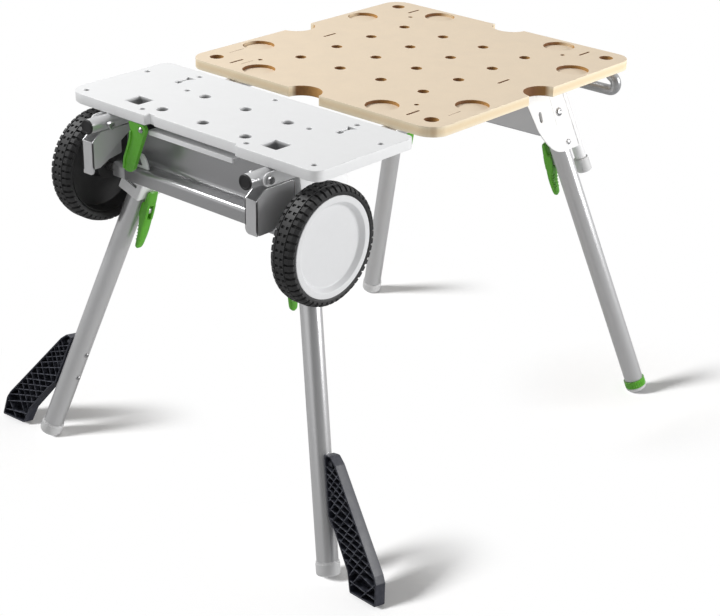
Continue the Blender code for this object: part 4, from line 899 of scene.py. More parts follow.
# Painted shade: a mid grey, darker than the other brackets' sheet, for the wheel brackets, which stand in
# shade
SHEET_SHADED = Finish(
    "wheel_bracket_coating", "light_metal", (0.6, 0.602, 0.61), roughness=0.3, vary=0.004, metallic=0.25,
    grain=1500.0, bump=0.004, dust=0.0)
SHEET_GREY = Finish(
    "brace_coating", "grey_metal", (0.175, 0.177, 0.182), roughness=0.42, vary=0.015, grain=1500.0,
    bump=0.02)
BEAM = Finish(
    "beam_coating", "grey_metal", (0.52, 0.522, 0.53), drift=0.006, roughness=0.26, vary=0.003,
    metallic=0.7, grain=2200.0, bump=0.002, dust=0.0)
BAR = Finish(
    "drawn_bar", "grey_metal", (0.46, 0.465, 0.475), drift=0.02, roughness=0.3, vary=0.008, metallic=0.6,
    grain=1800.0, bump=0.003, lines=0.1)
STEEL = Finish(
    "plated_steel", "steel", (0.56, 0.56, 0.57), drift=0.06, roughness=0.28, vary=0.03, metallic=1.0,
    grain=3000.0, bump=0.04, rub=0.2)
TYRE = Finish(
    "tyre_compound", "black_rubber", (0.024, 0.024, 0.025), drift=0.2, roughness=0.56, grain=1400.0,
    bump=0.2, dust=0.04, dust_colour=(0.16, 0.155, 0.15), rub=0.3, rub_colour=(0.1, 0.1, 0.1))
CAP = Finish(
    "wheel_cap_moulding", "pale_plastic", (0.76, 0.765, 0.775), roughness=0.38, vary=0.03, grain=1700.0,
    bump=0.03)
PALE = Finish(
    "foot_moulding", "pale_plastic", (0.62, 0.622, 0.625), drift=0.02, roughness=0.46, grain=1300.0,
    bump=0.06, dust=0.05)
SLATE = Finish(
    "skid_moulding", "slate_plastic", (0.026, 0.028, 0.04), drift=0.12, roughness=0.42, grain=1100.0,
    bump=0.12, dust=0.05, dust_colour=(0.2, 0.2, 0.23), rub=0.45, rub_colour=(0.2, 0.21, 0.25))
GREEN = Finish(
    "green_moulding", "green_plastic", (0.105, 0.42, 0.022), drift=0.04, roughness=0.3, grain=1300.0,
    rub=0.3, rub_colour=(0.34, 0.68, 0.18), coat=0.3)
BLACK = Finish(
    "black_moulding", "black_plastic", (0.013, 0.013, 0.014), drift=0.15, roughness=0.45, grain=1200.0,
    bump=0.08, dust=0.05, dust_colour=(0.13, 0.13, 0.13), rub=0.3, rub_colour=(0.07, 0.07, 0.07))


# Boards


@dataclass
class HoleBoard:
    """The square perforated board with its round cut-outs, recesses, slots and scribed marks."""

    seat: Matrix
    half: float = 0.288
    corner: float = 0.036
    cutout: float = 0.0355
    outset: float = 0.005
    pitch: float = 0.096
    hole: float = 0.01
    corner_hole: float = 0.0125
    corner_at: float = 0.2505
    recess: float = 0.029
    recess_deep: float = 0.006
    recess_far: float = 0.2508
    recess_near: float = 0.144
    screw: float = 0.0042
    screw_x: float = 0.208
    slot_size: Point = (0.033, 0.0044)
    slot_x: float = 0.2445
    slot_y: float = 0.206
    slot_deep: float = 0.008
    rim: float = 0.0006
    marks: Corners = ((-0.1975, 0.2535, 0.037), (-0.2365, 0.188, 0.031), (-0.199, -0.257, 0.032))
    mark_wide: float = 0.0009
    mark_deep: float = 0.0015

    def outline(self) -> Array:
        """One side, made of cut-out, straight and corner arc, turned by 0, 90, 180 and 270 degrees.

        Returns:
            The loop.
        """
        swing = math.degrees(math.acos(self.outset / self.cutout))
        bite = arc(0.0, -self.half - self.outset, self.cutout, 90.0 + swing, 90.0 - swing, 24)
        middle = self.half - self.corner
        side = np.concatenate([bite, arc(middle, -middle, self.corner, -90.0, 0.0, 12)[:-1]])
        turns = [np.array(Matrix.Rotation(math.radians(90.0 * q), 2)) for q in range(4)]
        return np.concatenate([side @ turn.T for turn in turns])

    def build(self) -> None:
        """Makes the board."""
        cells = [self.pitch * (i - 1.5) for i in range(4)]
        holes = [ring(x, y, self.hole, steps=32) for x in cells for y in cells]
        pits: list[tuple[Array, float]] = []
        for a in (-1, 1):
            for b in (-1, 1):
                holes.append(ring(a * self.corner_at, b * self.corner_at, self.corner_hole, steps=36))
                holes.append(ring(a * self.screw_x, b * RAIL_Y, self.screw, steps=20))
                for x, y in ((self.recess_far, self.recess_near), (self.recess_near, self.recess_far)):
                    pits.append((ring(a * x, b * y, self.recess, steps=56), self.recess_deep))
        for x in (-self.slot_x, 0.0, self.slot_x):
            pits += [(slot(x, b * self.slot_y, *self.slot_size), self.slot_deep) for b in (-1, 1)]
        pits += [(slot(x, y, long, self.mark_wide, steps=3), self.mark_deep) for x, y, long in self.marks]
        made = Surface().plate(self.outline(), BOARD_LOW, BOARD_TOP, self.seat, self.rim, holes, pits, 3)
        made.piece("hole_board", BOARD)


@dataclass
class MachinePlate:
    """The plate at the wheel end that carries the machine: holes, pockets, keyed slots, a stepped front."""

    seat: Matrix
    near: float = -0.563
    far: float = -0.334
    half: float = 0.289
    corner: float = 0.02
    lever_corner: float = 0.044
    step: float = 0.008
    step_from: float = -0.111
    step_to: float = 0.094
    step_soft: float = 0.003
    groove: float = 0.014
    groove_deep: float = 0.012
    groove_soft: float = 0.001
    hole: float = 0.01
    hole_x: Point = (-0.5213, -0.4253)
    hole_y: Corner = (-0.096, 0.0, 0.096)
    small: float = 0.005
    spots: Points = (
        (-0.541, 0.262), (-0.398, 0.27), (-0.356, 0.183), (-0.4235, 0.141), (-0.543, 0.12))
    middle_spot: Point = (-0.3565, 0.0)
    pocket: float = 0.034
    pocket_soft: float = 0.002
    pocket_at: Point = (-0.516, 0.158)
    key_at: Point = (-0.402, 0.187)
    key_sizes: tuple[float, float, float, float] = (0.011, 0.005, 0.032, 0.022)
    key_soft: float = 0.0008
    key_deep: float = 0.008
    rim: float = 0.0012

    def outline(self) -> Array:
        """Corners in order, with a radius for each.

        Returns:
            The loop.
        """
        y, back, deep = self.half, self.near + self.step, self.near + self.groove_deep
        wall, soft, sharp = self.step_to - self.groove, self.step_soft, self.groove_soft
        return cornered([
            (self.near, self.step_to, sharp), (self.near, y, self.lever_corner), (self.far, y, self.corner),
            (self.far, -y, self.corner), (self.near, -y, self.corner),
            (self.near, self.step_from - self.step / 2.0, soft), (back, self.step_from, soft),
            (back, wall, sharp), (deep, wall, sharp), (deep, self.step_to, sharp)], 12)

    def key(self, side: Side) -> Array:
        """Square, neck and arrow head in a row along X.

        Args:
            side: the side of the plate.

        Returns:
            The loop.
        """
        x, y = self.key_at[0], side.value * self.key_at[1]
        square, neck, length, head = self.key_sizes
        s, n, h, end = square / 2.0, neck / 2.0, head / 2.0, x + length
        points = [(x - s, y - s), (x + s, y - s), (x + s, y - n), (end - h, y - n), (end, y - h)]
        points += [(end, y + h), (end - h, y + n), (x + s, y + n), (x + s, y + s), (x - s, y + s)]
        return rounded(points, self.key_soft, 2)

    def build(self) -> None:
        """Makes the plate."""
        holes = [ring(x, y, self.hole, steps=32) for x in self.hole_x for y in self.hole_y]
        spots = [(x, s.value * y) for x, y in self.spots for s in Side] + [self.middle_spot]
        holes += [ring(x, y, self.small, steps=20) for x, y in spots]
        h, x = self.pocket / 2.0, self.pocket_at[0]
        for side in Side:
            y = side.value * self.pocket_at[1]
            holes.append(rounded(oblong(x - h, x + h, y - h, y + h), self.pocket_soft, 4))
        pits = [(self.key(side), self.key_deep) for side in Side]
        made = Surface().plate(self.outline(), BOARD_LOW, BOARD_TOP, self.seat, self.rim, holes, pits, 3)
        made.piece("machine_plate", PLATE)


# Rails, beam and brackets


@dataclass
class Rail:
    """The rail of one side with its end plug, strap and cross bolt."""

    seat: Matrix
    side: Side
    near: float = -0.606
    far: float = 0.262
    wall: float = 0.002
    plug_long: float = 0.018
    lip: float = 0.004
    lip_round: float = 0.0015
    dish: Points = ((0.0092, 0.0), (0.0086, 0.0005), (0.0, 0.0007))
    bolt_x: float = -0.575
    strap_y: float = 0.1985
    strap_corner: float = 0.0008
    strap_rim: float = 0.0022
    strap_sunk: float = 0.0007
    bolt: float = 0.0035
    head: float = 0.0065
    nut: float = 0.9
    nut_chamfer: Point = (0.04, 0.0006)
    head_chamfer: float = 0.001
    socket: Points = ((0.55, 0.0), (0.5, 0.0005), (0.48, 0.0034), (0.0, 0.0036))

    def build(self) -> None:
        """Makes the four pieces."""
        self.tube()
        self.plug()
        self.strap()
        self.cross_bolt()

    def line(self) -> Matrix:
        """Heights along X at the middle of the rail."""
        return self.seat @ shifted(0.0, self.side.value * RAIL_Y, RAIL_Z) @ ALONG_X

    def tube(self) -> None:
        """A tube: outer and inner walls with broken rims."""
        r, w, e = RAIL_RADIUS, RAIL_RADIUS - self.wall, SOFT_EDGE
        near, far = self.near, self.far
        loop = [(r, near + e), (r, far - e), (r - e, far), (w + e, far), (w, far - e), (w, near + e)]
        loop += [(w + e, near), (r - e, near)]
        Surface().turn(np.array(loop), 48, self.line(), closed=True).piece(f"rail_{self.side.word}", TUBE)

    def plug(self) -> None:
        """A black plug with a round lip and a dished middle."""
        r, w = RAIL_RADIUS, RAIL_RADIUS - self.wall - FIT
        lip, edge = self.near - SEAT, self.lip_round
        end = lip - self.lip
        profile = [(0.0, lip + self.plug_long), (w, lip + self.plug_long), (w, lip), (r, lip)]
        profile += arc(r - edge, end + edge, edge, 0.0, -90.0, 6).tolist()
        profile += [(radius, end + deep) for radius, deep in self.dish]
        Surface().turn(np.array(profile), 40, self.line()).piece(f"rail_plug_{self.side.word}", BLACK)

    def strap(self) -> None:
        """Oblong strap with a raised rim round it and a hole for the bolt."""
        r, x, end = RAIL_RADIUS - SHEET / 2.0, self.bolt_x, WEB_X - SHEET
        loop = np.concatenate([arc(x, RAIL_Z, r, 90.0, 270.0, 18), [(end, RAIL_Z - r), (end, RAIL_Z + r)]])
        loop = rounded(loop, self.strap_corner, 1)
        hole = ring(x, RAIL_Z, self.bolt + FIT, steps=20)
        low, high, sunk = self.strap_y, self.strap_y + SHEET, self.strap_sunk
        face = self.seat @ IN_XZ @ Matrix.Diagonal((1.0, 1.0, -self.side.value, 1.0))
        inner = moved_in(counter_clockwise(loop), self.strap_rim)
        made = Surface().plate(loop, low, high - sunk, face, SOFT_EDGE / 2.0, [hole])
        made.plate(loop, high - 2.0 * sunk, high, face, SOFT_EDGE, [inner], steps=3)
        made.piece(f"rail_strap_{self.side.word}", SHEET_WHITE)

    def cross_bolt(self) -> None:
        """Cap bolt through rail and strap, with a round socket, and a nut behind."""
        r, head, reach = self.bolt, self.head, self.strap_y + SHEET - RAIL_Y + SEAT
        top, back, nut = reach + head, -reach - r, head * self.nut
        (share, drop), edge = self.nut_chamfer, self.head_chamfer
        profile = [(0.0, back), (head * (self.nut - share), back), (nut, back + drop), (nut, -reach)]
        profile += [(r, -reach), (r, reach), (head, reach), (head, top - edge), (head - edge, top)]
        profile += [(head * wide, top - deep) for wide, deep in self.socket]
        flip = Matrix.Rotation(math.radians(180.0), 4, "Z")
        spot = self.seat @ shifted(self.bolt_x, self.side.value * RAIL_Y, RAIL_Z) @ flip @ ALONG_Y
        Surface().turn(np.array(profile), 24, spot).piece(f"rail_bolt_{self.side.word}", STEEL)


@dataclass
class FrontBeam:
    """The folded cross beam at the wheel end, with the ledge, the latch keeper and the two wheel brackets."""

    seat: Matrix
    half: float = 0.195
    web_half: float = 0.166
    web_low_top: float = 0.618
    lip_z: float = 0.5355
    bend: float = 0.008
    ledge_near: float = -0.552
    ledge_top: float = 0.6405
    ledge_lip: float = 0.0085
    ledge_half: float = 0.097
    ledge_soft: tuple[float, ...] = (0.0003, 0.0022, 0.0004, 0.0003, 0.0003, 0.0003, 0.0006, 0.0003)
    keeper_back: float = 0.002
    keeper_soft: float = 0.0022
    keeper_foot: float = 0.004
    keeper_foot_y: Corner = (0.116, 0.15, 0.131)
    keeper_hook: Points = (
        (0.137, 0.579), (0.1345, 0.587), (0.129, 0.5865), (0.1225, 0.58), (0.1175, 0.57))
    bracket_near: float = -0.604
    bracket_in: float = 0.177
    bracket_out: float = 0.203
    bracket_top: float = 0.6105
    bracket_low: float = 0.553
    cheek_soft: Point = (0.003, 0.002)

    def profile(self, top: float) -> Array:
        """Sheet outline in X and Z: web, shelf toward the wheels, round nose and lip.

        Args:
            top: top of the web.

        Returns:
            The loop.
        """
        r, corner, nose = self.bend, (WEB_X - self.bend - SHEET, SHELF_Z + self.bend), NOSE_X + self.bend
        under = arc(*corner, r + SHEET, 0.0, -90.0, 12)
        over = arc(*corner, r, 0.0, -90.0, 12)
        nose_out = arc(nose, SHELF_Z - r, r, 90.0, 180.0, 14)
        nose_in = arc(nose, SHELF_Z - r, r - SHEET, 90.0, 180.0, 14)
        outer = np.concatenate([[(WEB_X - SHEET, top)], over, nose_out, [(NOSE_X, self.lip_z)]])
        inner = np.concatenate([[(WEB_X, top)], under, nose_in, [(NOSE_X + SHEET, self.lip_z)]])
        return np.concatenate([outer, inner[::-1]])

    def build(self) -> None:
        """Makes the beam, the ledge, the keeper and the two wheel brackets."""
        flat = self.seat @ IN_XZ
        made = Surface().plate(self.profile(UNDER_BOARD), -self.web_half, self.web_half, flat)
        for side in Side:
            span = in_xz(side.value * self.web_half, side.value * self.half)
            made.plate(self.profile(self.web_low_top), *span, flat)
        made.piece("front_beam", BEAM)
        self.ledge()
        self.keeper()
        for side in Side:
            self.wheel_bracket(side)

    def ledge(self) -> None:
        """A small folded ledge under the machine plate: hook outline in X and Z."""
        top, low, t = self.ledge_top, self.ledge_top - self.ledge_lip, SHEET
        near, far = self.ledge_near, WEB_X - SHEET - SEAT
        hook = [(near, low), (near, top), (far, top), (far, top - 2 * t), (far - t, top - 2 * t)]
        hook += [(far - t, top - t), (near + t, top - t), (near + t, low)]
        loop, half = rounded(hook, self.ledge_soft, 4), self.ledge_half
        Surface().plate(loop, -half, half, self.seat @ IN_XZ).piece("plate_ledge", SHEET_WHITE)

    def keeper(self) -> None:
        """The hooked plate on the shelf that the latch lever snaps round."""
        shelf, high = SHELF_Z + SEAT, SHELF_Z + SEAT + self.keeper_foot
        start, stop, neck = self.keeper_foot_y
        hook = [(start, shelf), (stop, shelf), (stop, high), (neck, high), *self.keeper_hook]
        face = self.seat @ shifted(NOSE_X + self.bend + self.keeper_back) @ IN_YZ
        loop = rounded(hook, self.keeper_soft, 5)
        Surface().plate(loop, 0.0, SHEET, face).piece("latch_keeper", SHEET_WHITE)

    def wheel_bracket(self, side: Side) -> None:
        """Front flange, three-cornered inner cheek and arched outer cheek, folded from one sheet.

        Args:
            side: the side of the stand.
        """
        near, top, low, t, s = self.bracket_near, self.bracket_top, self.bracket_low, SHEET, side.value
        flat = self.seat @ IN_XZ
        rail, edge = RAIL_Z - RAIL_RADIUS - SEAT, WEB_X - SHEET - self.bend
        cut, lift = NOSE_X - t, SHELF_Z + t
        upper = [(near, top), (near + 8 * t, rail), (edge, rail)]
        outer = [(near, low + 2 * t), *upper, (edge, lift + 2 * t), (cut, lift), (cut - 8 * t, low)]
        outer += [(near + 2 * t, low)]
        inner = [(near, low + 4 * t), *upper, (edge, top + t)]
        a, b = self.bracket_in, self.bracket_out
        made = Surface().plate(rounded(outer, self.cheek_soft[0], 4), *in_xz(s * (b - t), s * b), flat)
        made.plate(rounded(inner, self.cheek_soft[1], 4), *in_xz(s * a, s * (a + t)), flat)
        flange = cornered([
            (s * a, low + 3 * t, 0.001), (s * (a + t), low + t, 0.002), (s * (a + 3 * t), low, 0.002),
            (s * b, low, 0.0015), (s * b, top, 0.001), (s * a, top, 0.001)], 3)
        made.plate(flange, near, near + t, self.seat @ IN_YZ)
        # The wheel brackets' sheet carries painted shade
        made.piece(f"wheel_bracket_{side.word}", SHEET_SHADED)


# Wheels


@dataclass
class Wheel:
    """One wheel: a moulded black body with a block tread, and the pale dished cap in its outer side."""

    seat: Matrix
    side: Side
    out_y: float = 0.2826
    width: float = 0.0469
    radius: float = 0.0987
    rim: float = 0.0838
    core: float = 0.022
    face_in: float = 0.001
    dish: float = 0.069
    dish_deep: float = 0.0085
    cap_edge: float = 0.0835
    cap_lip: float = 0.008
    lugs: int = 50
    samples: int = 12
    rows: int = 96
    side_wall: Points = ((0.0, 0.002), (0.002, 0.0008))
    crown: Points = ((-0.0075, 0.0), (-0.002, 0.0052), (0.0, 0.013))
    groove: float = 0.003
    groove_ends: Point = (0.0105, 0.0085)
    shoulder_from: float = 0.34
    shoulder_gap: float = 0.26
    middle_span: Point = (0.07, 0.24)
    middle_at: float = 0.63
    middle_gap: float = 0.16
    middle_deep: float = 0.8
    band_span: Point = (0.27, 0.31)
    band_deep: float = 0.45

    def place(self) -> Matrix:
        """Heights point out of the stand along Y, from the middle of the wheel."""
        spot = shifted(AXLE_AT[0], self.side.value * (self.out_y - self.width / 2.0), AXLE_AT[1])
        return self.seat @ spot @ Matrix.Rotation(math.radians(-90.0 * self.side.value), 4, "X")

    def tread(self) -> tuple[Array, Array, Array]:
        """The outside of the section, evenly sampled from one side wall over the tread to the other.

        Returns:
            Radius and height of each point, its outward normal, and its place across, -1 to 1.
        """
        mid = self.width / 2.0
        half = [(self.rim + out, mid - down) for out, down in self.side_wall]
        half += [(self.radius + out, mid - down) for out, down in self.crown]
        corners = np.array(half + [(a, -h) for a, h in half[::-1]])
        lengths = np.r_[0.0, np.cumsum(np.linalg.norm(np.diff(corners, axis=0), axis=1))]
        s = np.linspace(0.0, lengths[-1], self.rows)
        line = np.stack([np.interp(s, lengths, corners[:, k]) for k in (0, 1)], axis=1)
        ahead = np.gradient(line, axis=0)
        normal = np.stack([-ahead[:, 1], ahead[:, 0]], axis=1)
        normal /= np.linalg.norm(normal, axis=1, keepdims=True)
        return line, normal, 2.0 * s / lengths[-1] - 1.0

    def pattern(self, across: Array, line: Array, turn: Array) -> Array:
        """Depth of the tread: grooves over the shoulders, cross slots half a pitch on, and a band between.

        Args:
            across: place across, -1 to 1.
            line: radius and height of those places.
            turn: share of a pitch at each angle, 0 to 1.

        Returns:
            Depths, (across, angles).
        """
        u, r, f = np.abs(across)[:, None], line[:, :1], turn[None, :]
        low, high = (self.radius - depth for depth in self.groove_ends)
        shoulder = (u > self.shoulder_from) * (f < self.shoulder_gap) * eased(r, low, high)
        start, stop = self.middle_span
        middle = (u > start) * (u < stop) * (np.abs(f - self.middle_at) < self.middle_gap) * self.middle_deep
        start, stop = self.band_span
        between = (u > start) * (u < stop) * self.band_deep
        return self.groove * np.maximum(np.maximum(shoulder, middle), between)

    def build(self) -> None:
        """Makes the body and the cap."""
        mid = self.width / 2.0
        face = mid - self.face_in
        web, bore, back = face - self.dish_deep - SHEET - SEAT, AXLE_RADIUS + FIT, -mid + 0.01
        line, normal, across = self.tread()
        angle = full_turn(self.lugs * self.samples)
        depth = self.pattern(across, line, (angle * self.lugs / (2.0 * np.pi)) % 1.0)
        inner = cornered([
            (self.rim - 0.004, -mid + 0.002, 0.001), (self.rim - 0.009, web - 0.005, 0.003),
            (self.core + 0.002, web - 0.005, 0.003), (self.core, back, 0.001), (bore, back, 0.0004),
            (bore, web, 0.0004), (self.rim, web, 0.0)], 3)
        rest = np.ones(len(angle))
        r = np.concatenate([line[:, :1] - normal[:, :1] * depth, inner[:, :1] * rest])
        h = np.concatenate([line[:, 1:] - normal[:, 1:] * depth, inner[:, 1:] * rest])
        points = np.stack([r * np.cos(angle), r * np.sin(angle), h], axis=-1)
        name = f"wheel_{self.side.word}"
        made = Surface()
        made.grid(apply(points, self.place()), wrap_rows=True)
        made.piece(name, TYRE, name, sharp=28.0)
        self.cap(face, name)

    def cap(self, face: float, body: str) -> None:
        """The cap: a flat ring, a sloped wall down to a flat dish, and a lip tucked into the body.

        Args:
            face: height of the ring.
            body: the wheel's body.
        """
        dish, edge, lip, d, t = face - self.dish_deep, self.cap_edge, face - self.cap_lip, self.dish, SHEET
        profile = cornered([
            (0.0, dish - t, 0), (d + 0.001, dish - t, 0.001), (d + 0.004, face - t, 0.001),
            (edge - t, face - t, 0.0005), (edge - t, lip, 0.0003), (edge, lip, 0.0003), (edge, face, 0.0016),
            (d + 0.0042, face, 0.0024), (d - 0.0022, dish, 0.004), (0.0, dish, 0)], 8)
        Surface().turn(profile, 128, self.place()).piece(f"wheel_cap_{self.side.word}", CAP, body, sharp=45.0)


@dataclass
class Axle:
    """The plain axle through both wheels."""

    seat: Matrix
    reach: float = 0.2681
    chamfer: float = 0.0008

    def build(self) -> None:
        """Makes the axle with chamfered ends."""
        r, e, end = AXLE_RADIUS, self.chamfer, self.reach
        profile = [(0.0, -end), (r - e, -end), (r, -end + e), (r, end - e), (r - e, end), (0.0, end)]
        place = self.seat @ shifted(AXLE_AT[0], 0.0, AXLE_AT[1]) @ ALONG_Y
        Surface().turn(np.array(profile), 32, place).piece("axle", STEEL)


# Legs

# Run along X for each metre up, X of the axis at the floor, and height of the pivot
LEG_ENDS = {End.HANDLE: (-RAKE_FAR, 0.3016, 0.562), End.WHEEL: (RAKE_NEAR, -0.5985, 0.523)}


@dataclass
class LegLine:
    """Where one leg's axis, pivot and bracket lie."""

    seat: Matrix
    end: End
    side: Side
    foot_y: float = 0.3525
    bracket_z: float = 0.562

    def __post_init__(self) -> None:
        """Works out what follows from end and side. Local X times away points out of the stand."""
        self.at_handle = self.end is End.HANDLE
        self.word = f"{self.end.word}_{self.side.word}"
        self.away = self.end.value * self.side.value
        self.slope, self.foot_x, self.pivot_z = LEG_ENDS[self.end]
        self.up = Vector((self.slope, -self.side.value * SPLAY, 1.0)).normalized()
        self.along_pivot = self.pivot_z / self.up.z

    def point(self, z: float) -> Vector:
        """The point of the axis at a height."""
        return Vector((self.foot_x + self.slope * z, self.side.value * (self.foot_y - SPLAY * z), z))

    def local(self, origin: Vector, up: Vector) -> Matrix:
        """A frame at an origin, with Z along up and Y facing outward across the stand."""
        out = Vector((0.0, self.side.value, SPLAY)).normalized()
        return self.seat @ Matrix.Translation(origin) @ Matrix((out.cross(up), out, up)).transposed().to_4x4()

    @property
    def leg(self) -> Matrix:
        """Frame of the leg, at the floor end of its axis, Z up the leg."""
        return self.local(self.point(self.pivot_z), self.up) @ shifted(z=-self.along_pivot)

    @property
    def bracket(self) -> Matrix:
        """Frame of the bracket."""
        upright = Vector((0.0, -self.side.value * SPLAY, 1.0)).normalized()
        return self.local(self.point(self.bracket_z), upright)

    def in_bracket(self, z: float) -> Point:
        """Where the axis point at a height lies in the bracket's X and Z."""
        spot = self.bracket.inverted() @ (self.seat @ self.point(z))
        return spot.x, spot.z


@dataclass
class Bracket(LegLine):
    """Folded bracket of one leg and its pivot pin, and at the handle end its lock bolt and parking foot."""

    web: float = 0.0286
    top: float = 0.0605
    low: float = -0.052
    bottom: float = -0.074
    heel: Point = (0.006, 0.002)
    arch: Corners = (
        (-0.008, -0.074, 0.02), (-0.022, -0.071, 0.02), (-0.036, -0.0635, 0.02), (-0.048, -0.052, 0.02),
        (-0.0585, -0.038, 0.02), (-0.069, -0.022, 0.02), (-0.088, 0.035, 0.015), (-0.0965, 0.0605, 0.001))
    inner_handle: Corners = (
        (0.004, -0.052, 0.006), (-0.01, -0.02, 0.008), (-0.028, 0.0605, 0.001))
    inner_wheel: Corners = ((-0.012, -0.074, 0.006), (-0.028, -0.052, 0.01), (-0.03, 0.0605, 0.001))
    notch: Point = (0.008, 0.004)
    pin: float = 0.005
    pin_head: float = 0.008
    pin_high: float = 0.0035
    pin_dimple: Corners = ((0.0, -0.0008, 0), (0.0022, -0.0006, 0.0006), (0.003, 0.0, 0.0008))
    lock_below: float = 0.0565
    lock_share: float = 0.6
    oval_at: Point = (0.002, 0.055)
    oval: Point = (0.0208, 0.0084)
    window_z: float = -0.052
    window: Point = (0.028, 0.005)
    web_corner: float = 0.0012
    post_at: float = 0.0505
    post: float = 0.011
    post_wall: float = 0.002
    post_top: float = 0.03
    tab_z: Point = (-0.04, 0.015)
    tab_half: Point = (0.008, 0.004)
    tab_corner: float = 0.002
    tab_rim: float = 0.0008
    cap: float = 0.0145
    cap_round: float = 0.004
    cap_long: float = 0.028
    park_z: float = 0.434
    bead: Points = (
        (-0.06, 0.04), (-0.034, 0.046), (-0.023, 0.041), (-0.018, 0.028), (-0.0145, -0.004),
        (-0.0125, -0.026))
    bead_radius: float = 0.0012
    bead_sunk: float = 0.0007
    bead_steps: int = 40
    bead_blur: int = 3

    def __post_init__(self) -> None:
        """Works out the web's slope, its length for each metre up, its outer face and its turn."""
        super().__post_init__()
        self.lean = RAKE_FAR * math.cos(math.atan(SPLAY))
        self.stretch = math.sqrt(1.0 + self.lean**2)
        self.edge = self.web * self.stretch
        self.tilt = Matrix.Rotation(math.atan(self.lean) * -self.away, 4, "Y")
        self.reach = CHEEK_IN + SHEET + SEAT  # where the pins' heads begin
        self.lock = self.in_bracket(self.pivot_z - self.lock_below)  # where the lock bolt passes

    def cheek(self, inner: bool) -> Array:
        """Outline of a cheek in local X and Z: down the web, round the heel, and back up the free edge.

        Args:
            inner: the cheek on the side of the stand's middle.

        Returns:
            The loop.
        """
        edge, lean, bottom, (back, lift) = self.edge, self.lean, self.bottom, self.heel
        points = [(edge - lean * self.top, self.top, 0.001), (edge - lean * bottom, bottom + lift, lift)]
        points += [(edge - lean * bottom - back, bottom, 2.0 * lift)]
        if inner and self.at_handle:
            points += [(edge - lean * self.low - self.notch[0], self.low, self.notch[1]), *self.inner_handle]
        else:
            points += self.inner_wheel if inner else self.arch
        return cornered(points, 6) * np.array([self.away, 1.0])

    def build(self) -> None:
        """Makes every piece of this bracket."""
        out0, out1, a, flat = CHEEK_IN, CHEEK_IN + SHEET, self.away, self.bracket @ IN_XZ
        hole = ring(*self.in_bracket(self.pivot_z), self.pin + FIT, steps=20)
        outer_holes = [hole, slot(*self.oval_at, *self.oval)[:, ::-1] * np.array([-a, 1.0])]
        if self.at_handle:
            outer_holes.append(ring(*self.lock, self.pin * self.lock_share + FIT, steps=20))
        made = Surface().plate(self.cheek(False), -out1, -out0, flat, SHEET_RIM, outer_holes, steps=3)
        made.plate(self.cheek(True), out0, out1, flat, SHEET_RIM, [hole], steps=3)
        low, high = (self.bottom + self.heel[1]) * self.stretch, self.top * self.stretch
        window = slot(0.0, self.window_z * self.stretch, *self.window)
        face = self.bracket @ shifted(self.edge * a) @ self.tilt @ IN_YZ @ Matrix.Diagonal((1.0, 1.0, a, 1.0))
        strip = rounded(oblong(-out1, out1, low, high), self.web_corner, 3)
        made.plate(strip, -SHEET, 0.0, face, SHEET_RIM, [window], steps=3)
        self.pressed_bead(made, out1)
        if self.at_handle:
            self.tabs(made)
        made.piece(f"leg_bracket_{self.word}", SHEET_WHITE)
        self.pivot_pin()
        if self.at_handle:
            self.lock_bolt()
            self.parking_foot()

    def pressed_bead(self, made: Surface, face: float) -> None:
        """A crease pressed out of the outer cheek: a thin bar along a curve, sunk by more than half.

        The curve is the corners joined by straights, each of its points then the mean of seven neighbours.

        Args:
            made: the bracket's surface.
            face: outer face of the cheek.
        """
        corners = np.array([(x * self.away, z) for x, z in self.bead])
        s, side = np.linspace(0.0, len(corners) - 1.0, self.bead_steps), self.bead_blur
        curve = np.stack([np.interp(s, range(len(corners)), corners[:, k]) for k in (0, 1)], axis=1)
        kernel = np.ones(2 * side + 1) / (2.0 * side + 1.0)
        padded = np.pad(curve, ((side, side), (0, 0)), mode="edge")
        x, z = (np.convolve(padded[:, k], kernel, "valid") for k in (0, 1))
        path = np.column_stack([x, np.full(len(x), face - self.bead_sunk), z])
        made.carry(apply(path, self.bracket), self.bead_radius, 10)

    def pivot_pin(self) -> None:
        """Riveted pin: domed head with a dimple at each end."""
        px, pz = self.in_bracket(self.pivot_z)
        reach, head, r = self.reach, self.pin_high, self.pin_head
        half = [(x, reach + head + z, c) for x, z, c in self.pin_dimple]
        half += [(r * 0.62, reach + head, 0.003), (r * 0.94, reach + head * 0.62, 0.002), (r, reach, 0.0004)]
        half += [(self.pin, reach, 0)]
        profile = cornered(half + [(x, -h, c) for x, h, c in half[::-1]])
        place = self.bracket @ shifted(px, 0.0, pz) @ ALONG_Y
        Surface().turn(profile, 36, place).piece(f"pivot_pin_{self.word}", STEEL)

    def lock_bolt(self) -> None:
        """Small domed bolt that the release lever draws."""
        reach, r, head, start = self.reach, self.pin * self.lock_share, self.pin, CHEEK_IN - FIT
        profile = cornered([
            (0.0, start, 0), (r, start, 0.0004), (r, reach, 0), (head, reach, 0.0003),
            (head * 0.9, reach + r * 0.7, 0.001), (head * 0.4, reach + r, 0.001), (0.0, reach + r, 0)])
        x, z = self.lock
        place = self.bracket @ shifted(x, 0.0, z) @ ALONG_Y
        Surface().turn(profile, 28, place).piece(f"lock_bolt_{self.word}", STEEL)

    def tabs(self, made: Surface) -> None:
        """Two small tabs from the web to the post.

        Args:
            made: the bracket's surface.
        """
        a, (high, thick) = self.away, self.tab_half
        for z in self.tab_z:
            x0 = self.edge - self.lean * z - SHEET
            x1 = self.post_at * self.stretch - self.lean * z - self.post * 0.8
            loop = rounded(oblong(*sorted((x0 * a, x1 * a)), z - high, z + high), self.tab_corner, 3)
            made.plate(loop, -thick, thick, self.bracket @ IN_XZ, self.tab_rim)

